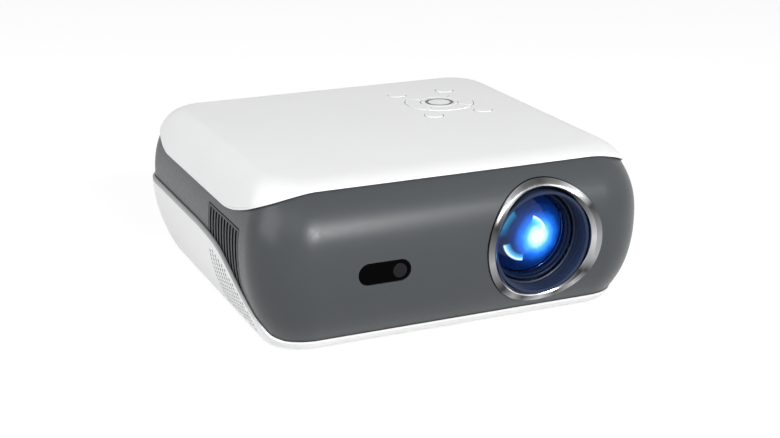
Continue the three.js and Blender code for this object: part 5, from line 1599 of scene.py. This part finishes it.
class PROJECTOR_OT_underside(bpy.types.Operator):
    """Make the feet, the tilt dial and stud, the tripod insert and the case screws"""

    bl_idname = "projector.underside"
    bl_label = "Underside"

    def execute(self, context):
        for name in FEET:
            self.make_foot(name)
        self.make_dial()
        self.make_stud()
        self.make_insert()
        for name in SCREWS:
            self.make_screw(name)
        return {"FINISHED"}

    def make_foot(self, name):
        """A rubber pad with a shallow dish below."""
        top, radius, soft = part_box(FEET[0])[1].z, radius_of(FEET[0]), 0.7 * MM
        profile = [(0, top), (radius - soft, top), (radius, top - soft / 2), (radius, soft)]
        profile += [(radius - soft / 3, soft / 3), (radius - soft, 0), (0.62 * radius, 0)]
        profile += [(0.58 * radius, soft / 2), (0, soft / 2)]
        piece = new_object(f"{name}_pad", turned(profile, "z", middle_of(name), 56))
        placed(smoothed(piece, 35), "case", "foot_rubber", name)

    def make_dial(self):
        """The knurled disc, with the neck and the flange that hold it in the shell."""
        low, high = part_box("tilt_dial")
        centre = middle_of("tilt_dial")
        rib, ribs, soft = 0.7 * MM, 36, 0.5 * MM
        bore, neck_radius, flange_radius = 4.3 * MM, 6.4 * MM, 8 * MM
        disc_top, flange_low = low.z + 4 * MM, high.z - 1.5 * MM
        shape = toothed(centre, "z", radius_of("tilt_dial"), rib, ribs, bore, low.z, disc_top, soft)
        piece = new_object("tilt_dial_disc", shape)
        neck = [(bore, disc_top - GAP), (neck_radius, disc_top - GAP), (neck_radius, flange_low)]
        neck += [(flange_radius, flange_low), (flange_radius, high.z), (bore, high.z)]
        combined(piece, [turned(neck, "z", centre, 56)], "UNION")
        placed(smoothed(piece, 35), "dial", "black_plastic", "tilt_dial")

    def make_stud(self):
        """The threaded stud on its pad."""
        low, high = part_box("tilt_stud")
        shank, pitch, pad, thick, soft = 4 * MM, 1.25 * MM, 8 * MM, 2 * MM, 0.6 * MM
        root = shank - 0.5 * MM
        profile = [(0, low.z), (pad - soft, low.z), (pad, low.z + soft), (pad, low.z + thick)]
        profile.append((shank - 0.4 * MM, low.z + thick))
        z = low.z + 1.5 * thick
        while z + pitch < high.z:
            profile += [(root, z), (shank, z + 0.4 * pitch), (shank, z + 0.55 * pitch)]
            z += pitch
        profile += [(shank - soft, high.z), (0, high.z)]
        piece = new_object("tilt_stud_foot", turned(profile, "z", middle_of("tilt_stud"), 40))
        placed(smoothed(piece, 35), "stud", "black_plastic", "tilt_stud")

    def make_insert(self):
        """The brass insert with a quarter-inch thread."""
        low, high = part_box("tripod_insert")
        radius, bore, pitch, soft = radius_of("tripod_insert"), 3.2 * MM, 1.27 * MM, 0.3 * MM
        root = bore + 0.35 * MM
        profile = [(bore + 0.5 * MM, low.z), (radius - soft, low.z), (radius, low.z + soft)]
        profile += [(radius, high.z), (bore, high.z)]
        z = high.z - pitch
        while z > low.z + pitch:
            profile += [(root, z + pitch / 2), (bore, z)]
            z -= pitch
        piece = new_object("thread_insert", turned(profile, "z", middle_of("tripod_insert"), 48))
        placed(smoothed(piece, 35), "case", "thread_brass", "tripod_insert")

    def make_screw(self, name):
        """A case screw with a cross slot in its domed head."""
        low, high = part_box(name)
        centre = middle_of(name)
        radius, shank, pitch = radius_of(name), 1.5 * MM, 0.8 * MM
        root, head = shank - 0.35 * MM, low.z + 2.2 * MM
        profile = [(0, low.z), (0.6 * radius, low.z), (0.9 * radius, low.z + 0.4 * MM)]
        profile += [(radius, low.z + 1 * MM), (radius, head), (shank, head)]
        z = head + 2 * pitch
        while z + pitch < high.z:
            profile += [(root, z), (shank, z + pitch / 2)]
            z += pitch
        profile += [(0.3 * shank, high.z), (0, high.z)]
        piece = new_object(f"{name}_head", turned(profile, "z", centre, 32))
        arm, half, depth = 2 * MM, 0.42 * MM, 1.3 * MM
        for reach_x, reach_y in ((arm, half), (half, arm)):
            outline = rounded_box(
                (centre.x - reach_x, centre.y - reach_y),
                (centre.x + reach_x, centre.y + reach_y),
                half / 2,
                2,
            )
            combined(piece, [prism(outline, "z", low.z - depth, low.z + depth)], "DIFFERENCE")
        placed(smoothed(piece, 35), "case", "plated_steel", name)


# The kept pieces whose sharp edges are softened, by how much and from which angle on. Points that
# lie within the weld's reach of each other are joined first.
SOFT_NODES = (
    "rear_panel", "hdmi_socket", "usb_socket", "av_socket", "power_inlet", "lens_tube", "focus_bracket",
    "ir_board", "key_board", "engine_tray", "engine_cover", "heatsink", "exhaust_fan_frame",
    "exhaust_fan_rotor", "intake_fan_frame", "intake_fan_rotor", "main_board", "power_board",
    "speaker_left", "speaker_right", "led_board", "focus_ring", "idler_gear",
)
SOFT_WIDTH = 0.25 * MM
SOFT_ANGLE = math.radians(40)
WELD_REACH = 0.001 * MM


class PROJECTOR_OT_inner_pieces(bpy.types.Operator):
    """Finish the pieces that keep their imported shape, and soften their edges"""

    bl_idname = "projector.inner_pieces"
    bl_label = "Inner pieces"

    def execute(self, context):
        for name, node in frame["nodes"].items():
            if node.hide_render:
                continue
            node.data.materials.clear()
            node.data.materials.append(finish_for(slot_of(name)))
            if name in SOFT_NODES:
                weld = node.modifiers.new("weld", "WELD")
                weld.merge_threshold = WELD_REACH
                bevel = node.modifiers.new("soft_edges", "BEVEL")
                bevel.width = SOFT_WIDTH
                bevel.segments = 2
                bevel.limit_method = "ANGLE"
                bevel.angle_limit = SOFT_ANGLE
                bevel.use_clamp_overlap = True
        return {"FINISHED"}


# Stage


def seen_directly(tree):
    """1 for the camera's rays, and for those that reach it by gloss or through glass."""
    path = tree.nodes.new("ShaderNodeLightPath")
    seen = path.outputs["Is Camera Ray"]
    for name in ("Is Glossy Ray", "Is Transmission Ray"):
        either = new_node(tree, "ShaderNodeMath", {0: seen, 1: path.outputs[name]}, operation="MAXIMUM")
        seen = either.outputs["Value"]
    return seen


# Each soft lamp's name, place, width and height in metres, and power in watts
LAMPS = (
    ("key_light", (-0.75, -0.95, 1.15), (0.9, 0.9), 2.6),
    ("front_light", (0.13, -1.17, 0.59), (0.44, 0.36), 13.4),
    ("streak_light", (0.56, -1.05, 0.66), (0.4, 0.16), 1.6),
    ("left_light", (-1.3, -0.1, 0.75), (1.0, 1.0), 10.6),
    ("right_light", (1.2, -0.7, 0.8), (1.0, 1.0), 1.5),
    ("top_light", (0.1, 0.35, 1.5), (1.2, 1.2), 1.5),
)
SENSOR_WIDTH = 36
CLIP_START = 0.01


class PROJECTOR_OT_stage(bpy.types.Operator):
    """Make the floor, the soft light and the camera"""

    bl_idname = "projector.stage"
    bl_label = "Stage"

    def execute(self, context):
        scene = context.scene
        stage = scene.projector_stage
        self.make_floor(stage)
        self.make_sky(scene, stage)
        for name, place, size, power in LAMPS:
            self.make_lamp(scene, name, place, size, power)
        self.make_camera(scene, stage)
        scene.view_settings.view_transform = "Standard"
        return {"FINISHED"}

    def make_camera(self, scene, stage):
        """A camera that sees the projector from its front left, slightly from above."""
        camera = bpy.data.cameras.new("camera")
        camera.lens = stage.lens
        camera.sensor_width = SENSOR_WIDTH
        camera.clip_start = CLIP_START
        holder = bpy.data.objects.new("camera", camera)
        scene.collection.objects.link(holder)
        holder.location = (stage.camera_x, stage.camera_y, stage.camera_z)
        holder.rotation_euler = (QUARTER - stage.drop, 0, stage.azimuth)
        scene.camera = holder

    def make_floor(self, stage):
        """A floor that shows white with soft shadows, and throws back less light than it shows."""
        half = stage.floor_size / 2
        points = [(-half, -half, 0), (half, -half, 0), (half, half, 0), (-half, half, 0)]
        floor = new_object("floor", (points, [(0, 1, 2, 3)]))
        material = bpy.data.materials.new("studio_floor")
        material.use_nodes = True
        tree = material.node_tree
        tree.nodes.clear()

        def diffuse(level):
            made = new_node(tree, "ShaderNodeBsdfDiffuse", {"Color": (level, level, level, 1)})
            return made.outputs["BSDF"]

        light = new_node(tree, "ShaderNodeEmission", {"Strength": stage.floor_light}).outputs["Emission"]
        shown = new_node(tree, "ShaderNodeAddShader", {0: diffuse(stage.floor_shade), 1: light})
        inputs = {"Fac": seen_directly(tree), 1: diffuse(stage.floor_bounce), 2: shown.outputs["Shader"]}
        chosen = new_node(tree, "ShaderNodeMixShader", inputs)
        new_node(tree, "ShaderNodeOutputMaterial", {"Surface": chosen.outputs["Shader"]})
        floor.data.materials.append(material)

    def make_sky(self, scene, stage):
        """A white sky that lights the scene only softly."""
        world = bpy.data.worlds.new("studio")
        world.use_nodes = True
        tree = world.node_tree
        tree.nodes.clear()

        def background(strength):
            made = new_node(tree, "ShaderNodeBackground", {"Color": (1, 1, 1, 1), "Strength": strength})
            return made.outputs["Background"]

        inputs = {"Fac": seen_directly(tree), 1: background(stage.sky), 2: background(1)}
        chosen = new_node(tree, "ShaderNodeMixShader", inputs)
        new_node(tree, "ShaderNodeOutputWorld", {"Surface": chosen.outputs["Shader"]})
        scene.world = world

    def make_lamp(self, scene, name, place, size, power):
        """A soft lamp that faces the middle of the floor."""
        lamp = bpy.data.lights.new(name, "AREA")
        lamp.shape = "RECTANGLE"
        lamp.size, lamp.size_y = size
        lamp.energy = power
        holder = bpy.data.objects.new(name, lamp)
        scene.collection.objects.link(holder)
        holder.location = place
        holder.rotation_euler = (-Vector(place)).to_track_quat("-Z", "Y").to_euler()


# Panel and registration


GROUPS = (
    ("projector_case", CaseSizes),
    ("projector_lid", LidSizes),
    ("projector_shell", ShellSizes),
    ("projector_lens", LensSizes),
    ("projector_keys", KeySizes),
    ("projector_vents", VentSizes),
    ("projector_colours", Colours),
    ("projector_stage", StageSizes),
)

OPERATORS = (
    PROJECTOR_OT_finishes,
    PROJECTOR_OT_stage,
    PROJECTOR_OT_lid,
    PROJECTOR_OT_band,
    PROJECTOR_OT_vents,
    PROJECTOR_OT_window,
    PROJECTOR_OT_shell,
    PROJECTOR_OT_lens,
    PROJECTOR_OT_keys,
    PROJECTOR_OT_focus_wheel,
    PROJECTOR_OT_underside,
    PROJECTOR_OT_inner_pieces,
)


class PROJECTOR_PT_panel(bpy.types.Panel):
    """Lists the projector's pieces and sizes"""

    bl_idname = "PROJECTOR_PT_panel"
    bl_label = "Table projector"
    bl_space_type = "VIEW_3D"
    bl_region_type = "UI"
    bl_category = "Projector"

    def draw(self, context):
        for operator in OPERATORS:
            self.layout.operator(operator.bl_idname)
        for name, group in GROUPS:
            box = self.layout.box()
            values = getattr(context.scene, name)
            for key in group.__annotations__:
                box.prop(values, key)


def register():
    for name, group in GROUPS:
        bpy.utils.register_class(group)
        setattr(bpy.types.Scene, name, PointerProperty(type=group))
    for operator in OPERATORS:
        bpy.utils.register_class(operator)
    bpy.utils.register_class(PROJECTOR_PT_panel)


def unregister():
    bpy.utils.unregister_class(PROJECTOR_PT_panel)
    for operator in reversed(OPERATORS):
        bpy.utils.unregister_class(operator)
    for name, group in reversed(GROUPS):
        delattr(bpy.types.Scene, name)
        bpy.utils.unregister_class(group)


def main():
    register()
    for operator in OPERATORS:
        group, name = operator.bl_idname.split(".")
        getattr(getattr(bpy.ops, group), name)()


if __name__ == "__main__":
    main()
